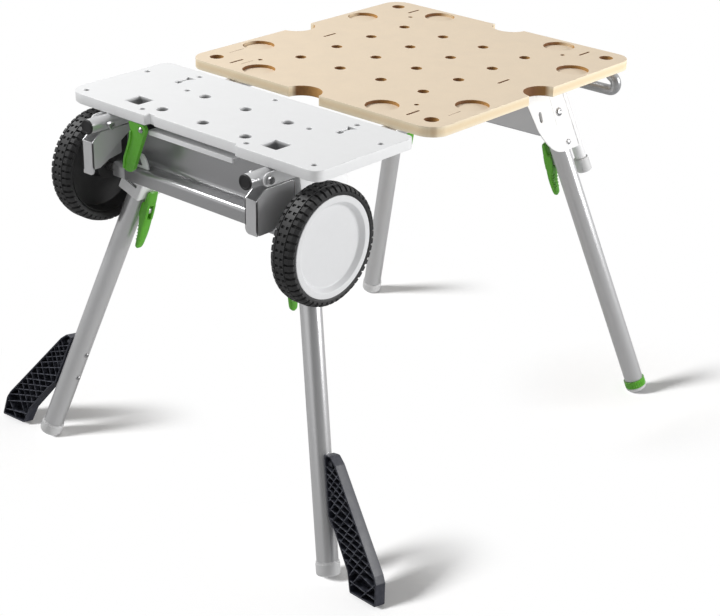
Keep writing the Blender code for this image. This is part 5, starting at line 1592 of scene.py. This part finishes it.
    def parking_foot(self) -> None:
        """Post and its cap, both turned about the post's axis, which leans as the web does.

        The cap's sole is rounded by rr, so its lowest point lies rr + (r - rr) sin(tilt) below the centre of
        that rounding, and the drop puts this point at the parking height.
        """
        place = self.bracket @ shifted(self.post_at * self.stretch * self.away) @ self.tilt
        down = place.to_3x3() @ Vector((0.0, 0.0, -1.0))
        tilt, rr, r = math.acos(-down.z), self.cap_round, self.cap
        drop = (rr + (r - rr) * math.sin(tilt)) / math.cos(tilt) - rr
        height = (self.seat.inverted() @ place).translation.z
        bottom = -(height - self.park_z) / math.cos(tilt) + drop
        top, floor, sleeve = bottom + self.cap_long, bottom + 2 * rr, self.post + FIT
        profile = cornered([
            (0.0, bottom, 0), (r, bottom, rr), (r - 0.0004, top, 0.0012), (sleeve, top, 0.0004),
            (sleeve, floor, 0), (0.0, floor, 0)], 6)
        Surface().turn(profile, 48, place).piece(f"parking_cap_{self.word}", PALE)
        wall, start, stop = self.post - self.post_wall, floor + SEAT, self.post_top
        profile = cornered([
            (self.post, start, 0.0003), (self.post, stop, 0.0008), (wall, stop, 0.0008),
            (wall, start, 0.0003)])
        Surface().turn(profile, 48, place, closed=True).piece(f"parking_post_{self.word}", SHEET_WHITE)


@dataclass
class Leg(LegLine):
    """One leg: its tube with the lever's lug, and its foot, which at one corner carries a levelling ring."""

    radius: float = 0.018
    wall: float = 0.002
    above: float = 0.016
    foot: float = 0.02
    foot_round: float = 0.006
    foot_long: float = 0.024
    foot_step: float = 0.0007
    sole: float = 0.008
    stem: float = 0.03
    lug_half: float = 0.0035
    lug: float = 0.007
    lug_foot: float = 0.003
    lug_rim: float = 0.0006
    lever_out: float = 0.0305
    lever_along: float = 0.505
    eye: float = 0.0033
    ring_long: float = 0.015
    ring_out: float = 0.0004
    ring_rim: float = 0.0006
    flutes: int = 28
    flute_samples: int = 10
    flute_deep: float = 0.0011
    flute_ends: Point = (0.0018, 0.0026)

    @property
    def body(self) -> str:
        """The body that the leg's pieces ride on."""
        return f"leg_{self.word}"

    @property
    def levelling(self) -> bool:
        """Whether this leg has the levelling foot."""
        return self.at_handle and self.side is Side.RIGHT

    @property
    def low(self) -> float:
        """How far up the axis the sole begins, so that its rim just meets the floor."""
        tilt, r = math.acos(self.up.z), self.foot_round
        return (r + (self.foot - r) * math.sin(tilt)) / math.cos(tilt) - r

    def build(self) -> None:
        """Makes the tube with its lug, and the foot."""
        place, r, w = self.leg, self.radius, self.radius - self.wall
        floor = self.low + (self.sole if self.levelling else self.foot_round)
        start, stop = floor + SEAT, self.along_pivot + self.above
        tube = cornered([(r, start, 0.0005), (r, stop, 0.0008), (w, stop, 0.0008), (w, start, 0.0005)])
        made = Surface().turn(tube, 72, place, closed=True)
        root, out, z, half = -r + self.wall / 2.0, self.lever_out, self.lever_along, self.lug + self.lug_foot
        eye = np.concatenate([arc(-out, z, self.lug, 90.0, 270.0, 16), [(root, z - half), (root, z + half)]])
        hole = ring(-out, z, self.eye, steps=20)
        made.plate(eye, -self.lug_half, self.lug_half, place @ IN_YZ, self.lug_rim, [hole])
        made.piece(f"leg_tube_{self.word}", TUBE, self.body)
        self.make_foot(place, floor)

    def make_foot(self, place: Matrix, floor: float) -> None:
        """The foot, turned about the leg's axis, and the fluted ring of the levelling foot.

        Args:
            place: the leg's frame.
            floor: how far up the axis the tube stands off the sole.
        """
        r, low, sleeve = self.foot, self.low, self.radius + SEAT
        edge = arc(r - self.foot_round, low + self.foot_round, self.foot_round, -90.0, 0.0, 8)
        points = [(0.0, low, 0)] + [(x, y, 0) for x, y in edge]
        if self.levelling:
            stem, high = self.radius - self.wall - FIT, floor + self.stem
            points += [(r, floor, 0.0006), (stem, floor, 0), (stem, high, 0.001), (0.0, high, 0)]
            self.fluted_ring(place, floor + SEAT, floor + SEAT + self.ring_long, sleeve)
        else:
            top, step = low + self.foot_long, r - self.foot_step
            points += [(r, top - 0.0035, 0.0006), (step, top - 0.0028, 0.0004), (step, top, 0.0008)]
            points += [(sleeve, top, 0.0002), (sleeve, floor, 0), (0.0, floor, 0)]
        Surface().turn(cornered(points, 7), 72, place).piece(f"foot_{self.word}", PALE, self.body)

    def fluted_ring(self, place: Matrix, low: float, high: float, sleeve: float) -> None:
        """Gripped ring: radius less depth times (0.5 - 0.5 cos of the flute angle) cubed, between plain rims.

        Args:
            place: the leg's frame.
            low: bottom of the ring.
            high: top of the ring.
            sleeve: inner radius.
        """
        t = full_turn(self.flutes * self.flute_samples)
        wave = (0.5 - 0.5 * np.cos(t * self.flutes)) ** 3
        r, e, (plain, deep) = self.foot + self.ring_out, self.ring_rim, self.flute_ends
        rows = np.array([
            (sleeve, low, 0), (r - e, low, 0), (r, low + e, 0), (r, low + plain, 0), (r, low + deep, 1),
            (r, high - deep, 1), (r, high - plain, 0), (r, high - e, 0), (r - e, high, 0), (sleeve, high, 0)])
        radius, height, cut = (rows[:, k:k + 1] for k in range(3))
        around = radius - self.flute_deep * cut * wave
        grid = np.stack([around * np.cos(t), around * np.sin(t), height + 0.0 * around], axis=-1)
        made = Surface()
        made.grid(apply(grid, place), wrap_rows=True)
        made.piece("levelling_ring", GREEN, "levelling_ring", sharp=40.0)


@dataclass
class Lever(LegLine):
    """Moulded release lever on one leg: a crowned body, a forked head over the lug, ribs on the tube side."""

    width: float = 0.0215
    tip_half: float = 0.0077
    low: float = 0.4335
    high: float = 0.542
    grip: Point = (0.4375, 0.474)
    crown: float = 0.0016
    square: float = 0.42
    fork: float = 0.008
    fork_low: float = 0.4925
    fork_high: float = 0.5175
    overlap: float = 0.0008
    out: float = 0.0305
    pivot_along: float = 0.505
    pin: float = 0.0028
    pin_in: float = 0.0012
    step: float = 0.0018
    sides: int = 40
    ribs: int = 5
    rib_first: float = 0.45
    rib_pitch: float = 0.0062
    rib_in: float = 0.0006
    rib_half: float = 0.0008
    rib_rim: float = 0.0003
    rib_deep: Point = (-0.001, 0.0014)
    front: Points = (
        (0.4335, -0.0405), (0.4365, -0.044), (0.445, -0.0455), (0.46, -0.0448), (0.482, -0.043),
        (0.505, -0.0405), (0.527, -0.0365), (0.5395, -0.0335), (0.542, -0.032))
    back: Points = (
        (0.4335, -0.0405), (0.4365, -0.0378), (0.447, -0.0362), (0.462, -0.035), (0.475, -0.0315),
        (0.487, -0.0262), (0.5, -0.0225), (0.512, -0.0212), (0.518, -0.0225), (0.52, -0.0262),
        (0.5395, -0.0262), (0.542, -0.029))

    def half(self, along: Array) -> Array:
        """Half width: full from the head down to the grip, then on a circle to a narrower round tip.

        Args:
            along: places along the leg.

        Returns:
            Half the width there.
        """
        below = ((self.low + self.tip_half - along) / self.tip_half).clip(0.0)
        above = ((along - self.high + 0.004) / 0.0042).clip(0.0)
        tip = np.sqrt(np.clip(1.0 - below**2, 0.02, 1.0))
        top = np.sqrt(np.clip(1.0 - above**2 * 0.35, 0.1, 1.0))
        return (self.tip_half + (self.width / 2.0 - self.tip_half) * eased(along, *self.grip)) * tip * top

    def depth(self, along: Array, line: Sequence[Point]) -> Array:
        """Local Y of the front or the back, straight between the line's points."""
        return np.interp(along, [a for a, _ in line], [y for _, y in line])

    def build(self) -> None:
        """Makes the lever: a body above the fork's root and below it, two fork cheeks, a pin and the ribs."""
        made, place = Surface(), self.leg
        cheek = (self.fork_low - self.overlap, self.fork_high + self.overlap)
        self.loft(made, (self.low, self.fork_low), None)
        for fork in (-1, 1):
            self.loft(made, cheek, fork)
        self.loft(made, (self.fork_high, self.high), None)
        reach, pin = self.width / 2.0 - self.pin_in, self.pin
        profile = np.array([(0.0, -reach), (pin, -reach), (pin, reach), (0.0, reach)])
        made.turn(profile, 24, place @ shifted(0.0, -self.out, self.pivot_along) @ ALONG_X)
        for k in range(self.ribs):
            self.grip_rib(made, self.rib_first + self.rib_pitch * k)
        made.piece(f"leg_lever_{self.word}", GREEN, f"lever_{self.word}")

    def grip_rib(self, made: Surface, along: float) -> None:
        """One rib across the back, its sides leaning in by as much as it starts below the surface.

        Args:
            made: the lever's surface.
            along: its place along the leg.
        """
        back, wide = self.depth(along, self.back), float(self.half(np.array([along]))[0]) - self.rib_in
        sunk, high = self.rib_deep
        top = wide + sunk
        rib = [(-wide, back + sunk), (wide, back + sunk), (top, back + high), (-top, back + high)]
        made.plate(np.array(rib), along - self.rib_half, along + self.rib_half, self.leg, self.rib_rim)

    def loft(self, made: Surface, stretch: Point, fork: int | None) -> None:
        """Sections across the lever: superellipses with a crowned front.

        x = sign(cos t) |cos t|^0.42 and y = sign(sin t) |sin t|^0.42, scaled to half the width and the depth
        there. The front is raised by crown times (x / half width)^2.

        Args:
            made: the surface to add to.
            stretch: first and last place along the leg.
            fork: -1 or 1 for one cheek of the fork, None for the whole width.
        """
        start, stop = stretch
        steps = max(6, int((stop - start) / self.step))
        along = start + (stop - start) * 0.5 * (1.0 - np.cos(np.pi * np.linspace(0.0, 1.0, steps + 1)))
        half = self.half(along)[:, None]
        low, high = (-half, half) if fork is None else (np.full_like(half, self.fork / 2.0), half)
        front, back = self.depth(along, self.front)[:, None], self.depth(along, self.back)[:, None]
        t = full_turn(self.sides)
        cx, cy = (np.sign(w) * np.abs(w) ** self.square for w in (np.cos(t), np.sin(t)))
        x = ((low + high) / 2.0 + (high - low) / 2.0 * cx) * (fork or 1)
        y = (front + back) / 2.0 + (back - front) / 2.0 * cy
        y += np.where(cy < 0.0, self.crown * (x / half.clip(0.001)) ** 2 * -cy, 0.0)
        grid = np.stack([x, y, along[:, None] + 0.0 * x], axis=-1)
        made.tunnel(apply(grid if fork != -1 else grid[:, ::-1], self.leg))


@dataclass
class Skid(LegLine):
    """Slate plastic skid on one wheel-end leg: a slab with an open, latticed pocket, and two screws."""

    half: float = 0.011
    floor: float = 0.0035
    rim: float = 0.0009
    wall: float = 0.0026
    pocket_soft: float = 0.004
    rib: float = 0.0012
    ribs: int = 13
    rise: float = 0.75
    over: float = 0.012
    rib_ends: Point = (0.003, 0.0012)
    lattice_span: Point = (0.18, -0.02)
    screws: Point = (0.189, 0.139)
    screw: float = 0.0022
    screw_fit: float = 0.0008
    screw_head: float = 0.0045
    screw_face: float = -0.0183
    screw_end: Point = (0.024, 0.0255)
    boss: float = 0.006
    boss_span: Point = (0.0186, 0.03)
    outline: Corners = (
        (0.019, 0.205, 0.001), (0.033, 0.203, 0.007), (0.043, 0.188, 0.01), (0.113, 0.018, 0.012),
        (0.116, 0.004, 0.008), (0.111, -0.0315, 0.003), (0.056, -0.014, 0.004), (0.054, 0.02, 0.012),
        (0.032, 0.08, 0.014), (0.019, 0.105, 0.002))

    def at(self, z: float) -> Matrix:
        """Frame of a screw: its height points out from the leg's axis."""
        return self.leg @ shifted(z=z) @ ALONG_Y

    def build(self) -> None:
        """Makes the skid and the screws."""
        face = self.leg @ IN_YZ @ Matrix.Diagonal((1.0, 1.0, self.away, 1.0))
        walls = counter_clockwise(np.array(self.outline)[:, :2])
        pocket = rounded(moved_in(walls, self.wall), self.pocket_soft, 5)
        pits = [(pocket, 2.0 * self.half - self.floor)]
        made = Surface().plate(cornered(self.outline, 8), -self.half, self.half, face, self.rim, (), pits, 4)
        self.lattice(made, face)
        low, high = self.boss_span
        bore, r = self.screw + self.screw_fit, self.boss
        boss = np.array([(bore, low), (r, low), (r, high), (0.0, high)])
        for z in self.screws:
            made.turn(boss, 28, self.at(z))
        made.piece(f"skid_{self.word}", SLATE, f"leg_{self.word}", sharp=32.0)
        for word, z in zip(("high", "low"), self.screws):
            self.screw_piece(word, z)

    def width_at(self, z: float) -> Point:
        """Inner and outer end of the pocket at a height: where its level crosses the outline, less the wall.

        Args:
            z: the height.

        Returns:
            The two ends.
        """
        loop = np.array(self.outline)[:, :2]
        ahead = np.roll(loop, -1, axis=0)
        cross = (loop[:, 1] - z) * (ahead[:, 1] - z) < 0.0
        a, b = loop[cross], ahead[cross]
        hits = a[:, 0] + (b[:, 0] - a[:, 0]) * (z - a[:, 1]) / (b[:, 1] - a[:, 1])
        return float(hits.min()) + self.wall * 0.8, float(hits.max()) - self.wall * 0.8

    def lattice(self, made: Surface, face: Matrix) -> None:
        """Ribs in the pocket: two families of parallel diagonals, each crossing from one edge to the other.

        Args:
            made: the surface to add to.
            face: plate frame whose height points to the open side.
        """
        low, high = -self.half + self.rib_ends[0], self.half - self.rib_ends[1]
        top, bottom = self.lattice_span
        for z in bottom + (top - bottom) * np.arange(self.ribs) / (self.ribs - 1):
            inner, outer = self.width_at(z)
            rise = self.rise * (outer - inner)
            if z + rise > top + self.over:
                continue
            for first, last in ((z, z + rise), (z + rise, z)):
                start, stop = np.array([(self.width_at(first)[0], first), (self.width_at(last)[1], last)])
                made.rib(start, stop, self.rib / 2.0, low, high, face)

    def screw_piece(self, word: str, z: float) -> None:
        """A screw from inside the leg, with a slightly domed head.

        Args:
            word: high or low.
            z: its place along the leg.
        """
        r, head, outer, (end, tip) = self.screw, self.screw_head, self.screw_face, self.screw_end
        profile = cornered([
            (0.0, outer - 0.0026, 0), (0.0012, outer - 0.0026, 0), (head * 0.7, outer - 0.0024, 0.002),
            (head, outer, 0.0004), (r, outer, 0), (r, end, 0.0005), (0.0, tip, 0)])
        name = f"skid_screw_{self.word}_{word}"
        Surface().turn(profile, 28, self.at(z)).piece(name, STEEL, f"leg_{self.word}")


# The rear beam, the side braces, the handle and the latch lever


@dataclass
class RearFrame:
    """Folded beam between the handle-end brackets, and a strip from each of them along the side."""

    seat: Matrix
    near: float = 0.15
    far: float = 0.18
    low: float = 0.585
    high: float = 0.6235
    fold: float = 0.0035
    fold_in: float = 0.002
    lip: float = 0.0006
    sections: int = 9
    strip: Corners = (
        (-0.281, 0.0605, 0.002), (-0.0969, 0.0605, 0.001), (-0.0884, 0.035, 0.006), (-0.0694, -0.022, 0.004),
        (-0.0636, -0.0308, 0.001))

    def build(self) -> None:
        """Makes both strips and the beam, its sections at equal shares of the way from right to left."""
        x0, x1, z0, z1, t = self.near, self.far, self.low, self.high, SHEET
        e, f, g = self.lip, self.fold, self.fold_in
        loop = cornered([
            (x0, z0, e), (x0 + t, z0, e), (x0 + t, z1 - t, g), (x1 - t, z1 - t, g), (x1 - t, z0, e),
            (x1, z0, e), (x1, z1, f), (x0, z1, f)], 5)
        right, left = self.end_y(Side.RIGHT, loop), self.end_y(Side.LEFT, loop)
        share = np.linspace(0.0, 1.0, self.sections)[:, None]
        y = right * (1.0 - share) + left * share
        made = Surface()
        made.tunnel(apply(np.stack([loop[:, 0] + 0.0 * y, y, loop[:, 1] + 0.0 * y], axis=-1), self.seat))
        made.piece("rear_beam", BEAM)
        for side in Side:
            self.brace(side)

    def end_y(self, side: Side, loop: Array) -> Array:
        """Y where the beam meets a bracket's inner cheek: the plane n . (q - p) = 0, solved for Y.

        Args:
            side: which end of the beam.
            loop: X and Z of each section point.

        Returns:
            Y of each point.
        """
        local = self.seat.inverted() @ LegLine(self.seat, End.HANDLE, side).bracket
        n = local.to_3x3() @ Vector((0.0, 1.0, 0.0))
        p = local @ Vector((0.0, -CHEEK_IN - SHEET - SEAT, 0.0))
        return p.y - (n.x * (loop[:, 0] - p.x) + n.z * (loop[:, 1] - p.z)) / n.y

    def brace(self, side: Side) -> None:
        """A side strip, lying flat in the plane of the outer cheek.

        Args:
            side: the side of the stand.
        """
        line = LegLine(self.seat, End.HANDLE, side)
        loop = cornered(self.strip, 5) * np.array([line.away, 1.0])
        made = Surface().plate(loop, -CHEEK_IN - SHEET, -CHEEK_IN, line.bracket @ IN_XZ, SHEET_RIM, steps=3)
        made.piece(f"side_brace_{side.word}", SHEET_GREY)


@dataclass
class PullHandle:
    """Bent tube that slides in both rails and turns up across the handle end."""

    seat: Matrix
    radius: float = 0.01
    start_x: float = 0.01
    turn_x: float = 0.32
    up: Corner = (0.324, 0.262, 0.584)
    bends: tuple[float, ...] = (0.028, 0.0145, 0.0145, 0.028)
    bend_points: int = 17

    def build(self) -> None:
        """Sweeps a round section along the path and its mirror image."""
        half = [(self.start_x, RAIL_Y, RAIL_Z), (self.turn_x, RAIL_Y, RAIL_Z), self.up]
        corners = np.array(half + [(x, -y, z) for x, y, z in half[::-1]])
        path = apply(self.bent(corners), self.seat)
        Surface().carry(path, self.radius, 40).piece("pull_handle", BAR, "handle")

    def bent(self, corners: Array) -> Array:
        """Straight runs joined by arcs tangent to both.

        At a corner with unit vectors i and o back and ahead, and h half the angle between them, the centre
        lies r / sin(h) away along i + o, the arc meets the runs r / tan(h) away, and sweeps pi - 2 h.

        Args:
            corners: (n, 3) corners.

        Returns:
            (m, 3) points.
        """
        path = [corners[:1]]
        for before, corner, after, r in zip(corners, corners[1:], corners[2:], self.bends):
            into = (before - corner) / np.linalg.norm(before - corner)
            out = (after - corner) / np.linalg.norm(after - corner)
            half = math.acos(float(np.clip(into @ out, -1.0, 1.0))) / 2.0
            middle = corner + (into + out) / np.linalg.norm(into + out) * r / math.sin(half)
            a = corner + into * r / math.tan(half) - middle
            b = corner + out * r / math.tan(half) - middle
            sweep = math.pi - 2.0 * half
            side = (b - a * math.cos(sweep)) / math.sin(sweep)
            w = np.linspace(0.0, sweep, self.bend_points)[:, None]
            path.append(middle + a * np.cos(w) + side * np.sin(w))
        return np.concatenate(path + [corners[-1:]])


@dataclass
class Latch:
    """Green latch lever at the wheel end: flat body with a raised rim, on a bolt with a bush."""

    seat: Matrix
    axis: Corner = (-0.5585, 0.1035, 0.6405)
    half: float = 0.004
    edge: float = 0.001
    eye: float = 0.0098
    eye_span: Point = (90.0, 195.0)
    back: float = 0.0437
    bolt: float = 0.003
    bolt_fit: float = 0.0004
    head: float = 0.0055
    head_high: float = 0.003
    bush: float = 0.0054
    bush_fit: float = 0.0003
    rim_high: float = 0.0065
    rim_root: float = 0.001
    rim_soft: float = 0.0008
    outline: Corners = (
        (0.019, -0.065, 0.006), (0.0225, -0.0735, 0.006), (0.029, -0.0795, 0.005), (0.0355, -0.0805, 0.006),
        (0.044, -0.0795, 0.005), (0.0485, -0.073, 0.005), (0.0435, -0.0565, 0.012), (0.035, -0.037, 0.012),
        (0.028, -0.0195, 0.01), (0.0265, -0.006, 0.006), (0.0305, 0.0098, 0.003))
    rim: Corners = (
        (0.047, -0.076, 0.0015), (0.044, -0.056, 0.012), (0.0352, -0.0365, 0.012), (0.0282, -0.019, 0.01),
        (0.0266, -0.006, 0.002), (0.0225, -0.006, 0.002), (0.0242, -0.02, 0.01), (0.0312, -0.038, 0.012),
        (0.04, -0.0575, 0.012), (0.043, -0.076, 0.0015))

    def build(self) -> None:
        """Makes the lever, its bolt and its bush."""
        face = self.seat @ Matrix.Translation(self.axis) @ IN_YZ
        eye = [(y, z, 0.0) for y, z in arc(0.0, 0.0, self.eye, *self.eye_span, 20)]
        hole = ring(0.0, 0.0, self.bolt + self.bolt_fit, steps=28)
        loop, raised = cornered([*eye, *self.outline], 6), counter_clockwise(cornered(self.rim, 6))
        made = Surface().plate(loop, -self.half, self.half, face, self.edge, [hole], steps=4)
        made.plate(raised, -self.rim_high, -self.half + self.rim_root, face, self.rim_soft, steps=3)
        made.piece("latch_lever", GREEN, "latch")
        self.bolt_and_bush()

    def bolt_and_bush(self) -> None:
        """Bolt with a domed head in front of the lever, and a bush from the lever to the web."""
        place = self.seat @ Matrix.Translation(self.axis) @ ALONG_X
        outer, r, back, high = self.half + SEAT, self.bolt, self.back, self.head_high
        bolt = cornered([
            (0.0, -outer - high, 0), (high, -outer - high, 0.0008), (self.head, -outer, 0.0014),
            (r, -outer, 0), (r, back, 0), (0.0, back, 0)])
        Surface().turn(bolt, 32, place).piece("latch_bolt", STEEL)
        inner, collar = r + self.bush_fit, self.bush
        bush = cornered([
            (inner, outer, 0.0002), (collar, outer, 0.0005), (collar, back, 0.0005),
            (inner, back, 0.0002)], 3)
        Surface().turn(bush, 32, place, closed=True).piece("latch_bush", BLACK)


# Stage, lights and camera


@dataclass(frozen=True)
class Lamp:
    """A rectangular soft light: its place in the stand's frame, its sides and its watts."""

    name: str
    spot: Corner
    size: Point
    power: float


@dataclass
class Stage:
    """White flat floor, a white world and soft studio lights."""

    seat: Matrix
    floor_half: float = 14.0
    clear: float = 0.0004
    paint_light: float = 0.8
    paint_mirrored: float = 0.34
    paint_seen: float = 0.97
    shadow_span: Point = (0.07, 0.3)
    shadow_least: float = 0.12
    skid_foot: float = 0.08
    aim: Corner = (-0.15, 0.0, 0.35)
    dark_way: Corner = (-0.428, -0.904, 0.0)
    dark_span: Point = (0.35, 0.8)
    room: Point = (0.76, 0.08)
    soft: float = 0.272
    sun_way: Corner = (-2.62, 1.46, 1.73)
    sun_power: float = 4.7
    sun_angle: float = 15.0
    lamps: tuple[Lamp, ...] = (
        Lamp("key", (-1.1, 1.7, 2.9), (1.1, 1.1), 70.0), Lamp("side", (1.5, -2.6, 1.35), (1.5, 1.3), 68.0))

    def floor(self) -> bpy.types.Object:
        """Makes a wide flat floor just under the feet.

        Returns:
            The floor.
        """
        mesh = bpy.data.meshes.new("floor")
        h, drop = self.floor_half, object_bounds()[0][2] - self.clear
        mesh.from_pydata([(x, y, drop) for x, y in oblong(-h, h, -h, h)], [], [(0, 1, 2, 3)])
        obj = bpy.data.objects.new("floor", mesh)
        bpy.context.scene.collection.objects.link(obj)
        mesh.materials.append(self.floor_material())
        obj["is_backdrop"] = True
        return obj

    def resting_places(self) -> list[Vector]:
        """Where feet and skids meet the floor.

        Returns:
            Their places, in metres in the scene.
        """
        lines = [LegLine(self.seat, end, side) for end in End for side in Side]
        spots = [line.seat @ line.point(0.0) for line in lines]
        return spots + [line.leg @ Vector((0.0, self.skid_foot, 0.0)) for line in lines if not line.at_handle]

    def floor_material(self) -> bpy.types.Material:
        """Diffuse white round the feet, and toward the distance its own white light, for the camera alone.

        To other rays it is plain paint, darker where a glossy piece mirrors it.

        Returns:
            The material.
        """
        mat = bpy.data.materials.new("floor")
        mat.use_nodes = True
        mat.node_tree.nodes.clear()
        g = Graph(mat.node_tree)
        position, nearest = g.geometry("Position"), self.shadow_span[1]
        for place in self.resting_places():
            nearest = g.maths("MINIMUM", nearest, g.along("DISTANCE", position, place))
        share = g.between(nearest, *self.shadow_span, self.shadow_least, 1.0, "SMOOTHSTEP")
        rays = g.node("LightPath")
        tone = g.blended(rays["Is Glossy Ray"], grey(self.paint_light), grey(self.paint_mirrored))
        paint, seen_paint = (g.node("BsdfDiffuse", {"Color": c})[0] for c in (tone, grey(self.paint_seen)))
        seen = g.node("MixShader", {0: share, 1: seen_paint, 2: g.node("Emission", {"Strength": 1.0})[0]})[0]
        mixed = g.node("MixShader", {0: rays["Is Camera Ray"], 1: paint, 2: seen})[0]
        g.node("OutputMaterial", {"Surface": mixed})
        return mat

    def world(self) -> None:
        """White for the camera, soft as a light, and for reflections a white room with a dark side.

        Strength is seen + (1 - seen) (gloss room + (1 - gloss) soft), where seen is 1 for camera and
        transmission rays, gloss is 1 for glossy ones, and room falls as the ray turns to the dark side.
        """
        world = bpy.data.worlds.new("studio")
        bpy.context.scene.world = world
        world.use_nodes = True
        world.node_tree.nodes.clear()
        g = Graph(world.node_tree)
        rays = g.node("LightPath")
        facing = g.along("DOT_PRODUCT", g.node("TexCoord")["Generated"], self.dark_way)
        room = g.between(facing, *self.dark_span, *self.room, "SMOOTHSTEP")
        seen = g.maths("MAXIMUM", rays["Is Camera Ray"], rays["Is Transmission Ray"])
        gloss = rays["Is Glossy Ray"]
        other = g.plus(g.times(gloss, room), g.times(g.minus(1.0, gloss), self.soft))
        level = g.plus(seen, g.times(g.minus(1.0, seen), other))
        back = g.node("Background", {"Color": grey(1.0), "Strength": level})
        g.node("OutputWorld", {"Surface": back["Background"]})

    def hung(self, data: bpy.types.Light, spot: Vector) -> bpy.types.Object:
        """Hangs a light at a place, turned to the aim.

        Args:
            data: the light.
            spot: its place in the stand's frame.

        Returns:
            The light's object.
        """
        obj = bpy.data.objects.new(data.name, data)
        bpy.context.scene.collection.objects.link(obj)
        start, aim = self.seat @ spot, self.seat @ Vector(self.aim)
        turn = (aim - start).to_track_quat("-Z", "Y").to_matrix().to_4x4()
        obj.matrix_world = Matrix.Translation(start) @ turn
        obj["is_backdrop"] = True
        return obj

    def soft_light(self, lamp: Lamp, receivers: bpy.types.Collection) -> None:
        """Hangs a rectangular soft light.

        Args:
            lamp: its sizes.
            receivers: what it lights.
        """
        data = bpy.data.lights.new(lamp.name, "AREA")
        data.shape, data.energy = "RECTANGLE", lamp.power
        data.size, data.size_y = lamp.size
        self.hung(data, Vector(lamp.spot)).light_linking.receiver_collection = receivers

    def floor_light(self, floor: bpy.types.Object) -> None:
        """Low wide light from the left for the floor alone. Only what stands on the floor shades it.

        Args:
            floor: the floor.
        """
        data = bpy.data.lights.new("floor_light", "SUN")
        data.energy, data.angle = self.sun_power, math.radians(self.sun_angle)
        linking = self.hung(data, Vector(self.aim) + Vector(self.sun_way)).light_linking
        lit, blocks = bpy.data.collections.new("lit_floor"), bpy.data.collections.new("floor_blocks")
        lit.objects.link(floor)
        for obj in bpy.context.scene.objects:
            if obj.name.startswith(("leg_tube", "foot", "skid", "levelling_ring")):
                blocks.objects.link(obj)
        linking.receiver_collection, linking.blocker_collection = lit, blocks

    def build(self) -> None:
        """Makes floor, world and lights."""
        floor = self.floor()
        self.world()
        self.floor_light(floor)
        others = bpy.data.collections.new("not_the_floor")
        others.objects.link(floor)
        others.collection_objects[0].light_linking.link_state = "EXCLUDE"
        for lamp in self.lamps:
            self.soft_light(lamp, others)


@dataclass
class Camera:
    """Camera standing where the photograph was taken from."""

    seat: Matrix
    spot: Corner = (-2.2948, -1.9066, 1.5427)
    turn: Corner = (65.20940, -1.48622, -49.46118)
    sensor: float = 36.0
    lens: float = 84.79
    shift: Point = (-0.05875, 0.00167)
    sees_to: float = 100.0

    def build(self) -> None:
        """Makes the camera, turned by degrees about X, Y and Z, and gives it to the scene."""
        data = bpy.data.cameras.new("camera")
        data.sensor_width, data.lens, data.clip_end = self.sensor, self.lens, self.sees_to
        data.shift_x, data.shift_y = self.shift
        obj = bpy.data.objects.new("camera", data)
        bpy.context.scene.collection.objects.link(obj)
        turn = Euler([math.radians(w) for w in self.turn]).to_matrix().to_4x4()
        obj.matrix_world = self.seat @ Matrix.Translation(self.spot) @ turn
        bpy.context.scene.camera = obj


# The whole stand


def main() -> None:
    """Builds everything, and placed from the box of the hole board."""
    logging.basicConfig(level=logging.INFO, format="%(levelname)s %(message)s")
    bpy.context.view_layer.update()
    (x0, y0, _), (x1, y1, z1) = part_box("hole_board")
    seat = shifted((x0 + x1) / 2.0, (y0 + y1) / 2.0, z1 - BOARD_TOP)
    kinds = (HoleBoard, MachinePlate, FrontBeam, RearFrame, Axle, PullHandle, Latch)
    parts = [kind(seat) for kind in kinds]
    for side in Side:
        parts += [Rail(seat, side), Wheel(seat, side)]
        parts += [kind(seat, end, side) for end in End for kind in (Bracket, Leg, Lever)]
        parts.append(Skid(seat, End.WHEEL, side))
    for part in (*parts, Stage(seat), Camera(seat)):
        part.build()
        log.info("%s done", type(part).__name__)
    bpy.context.scene.view_settings.view_transform = "Standard"


if __name__ == "__main__":
    main()
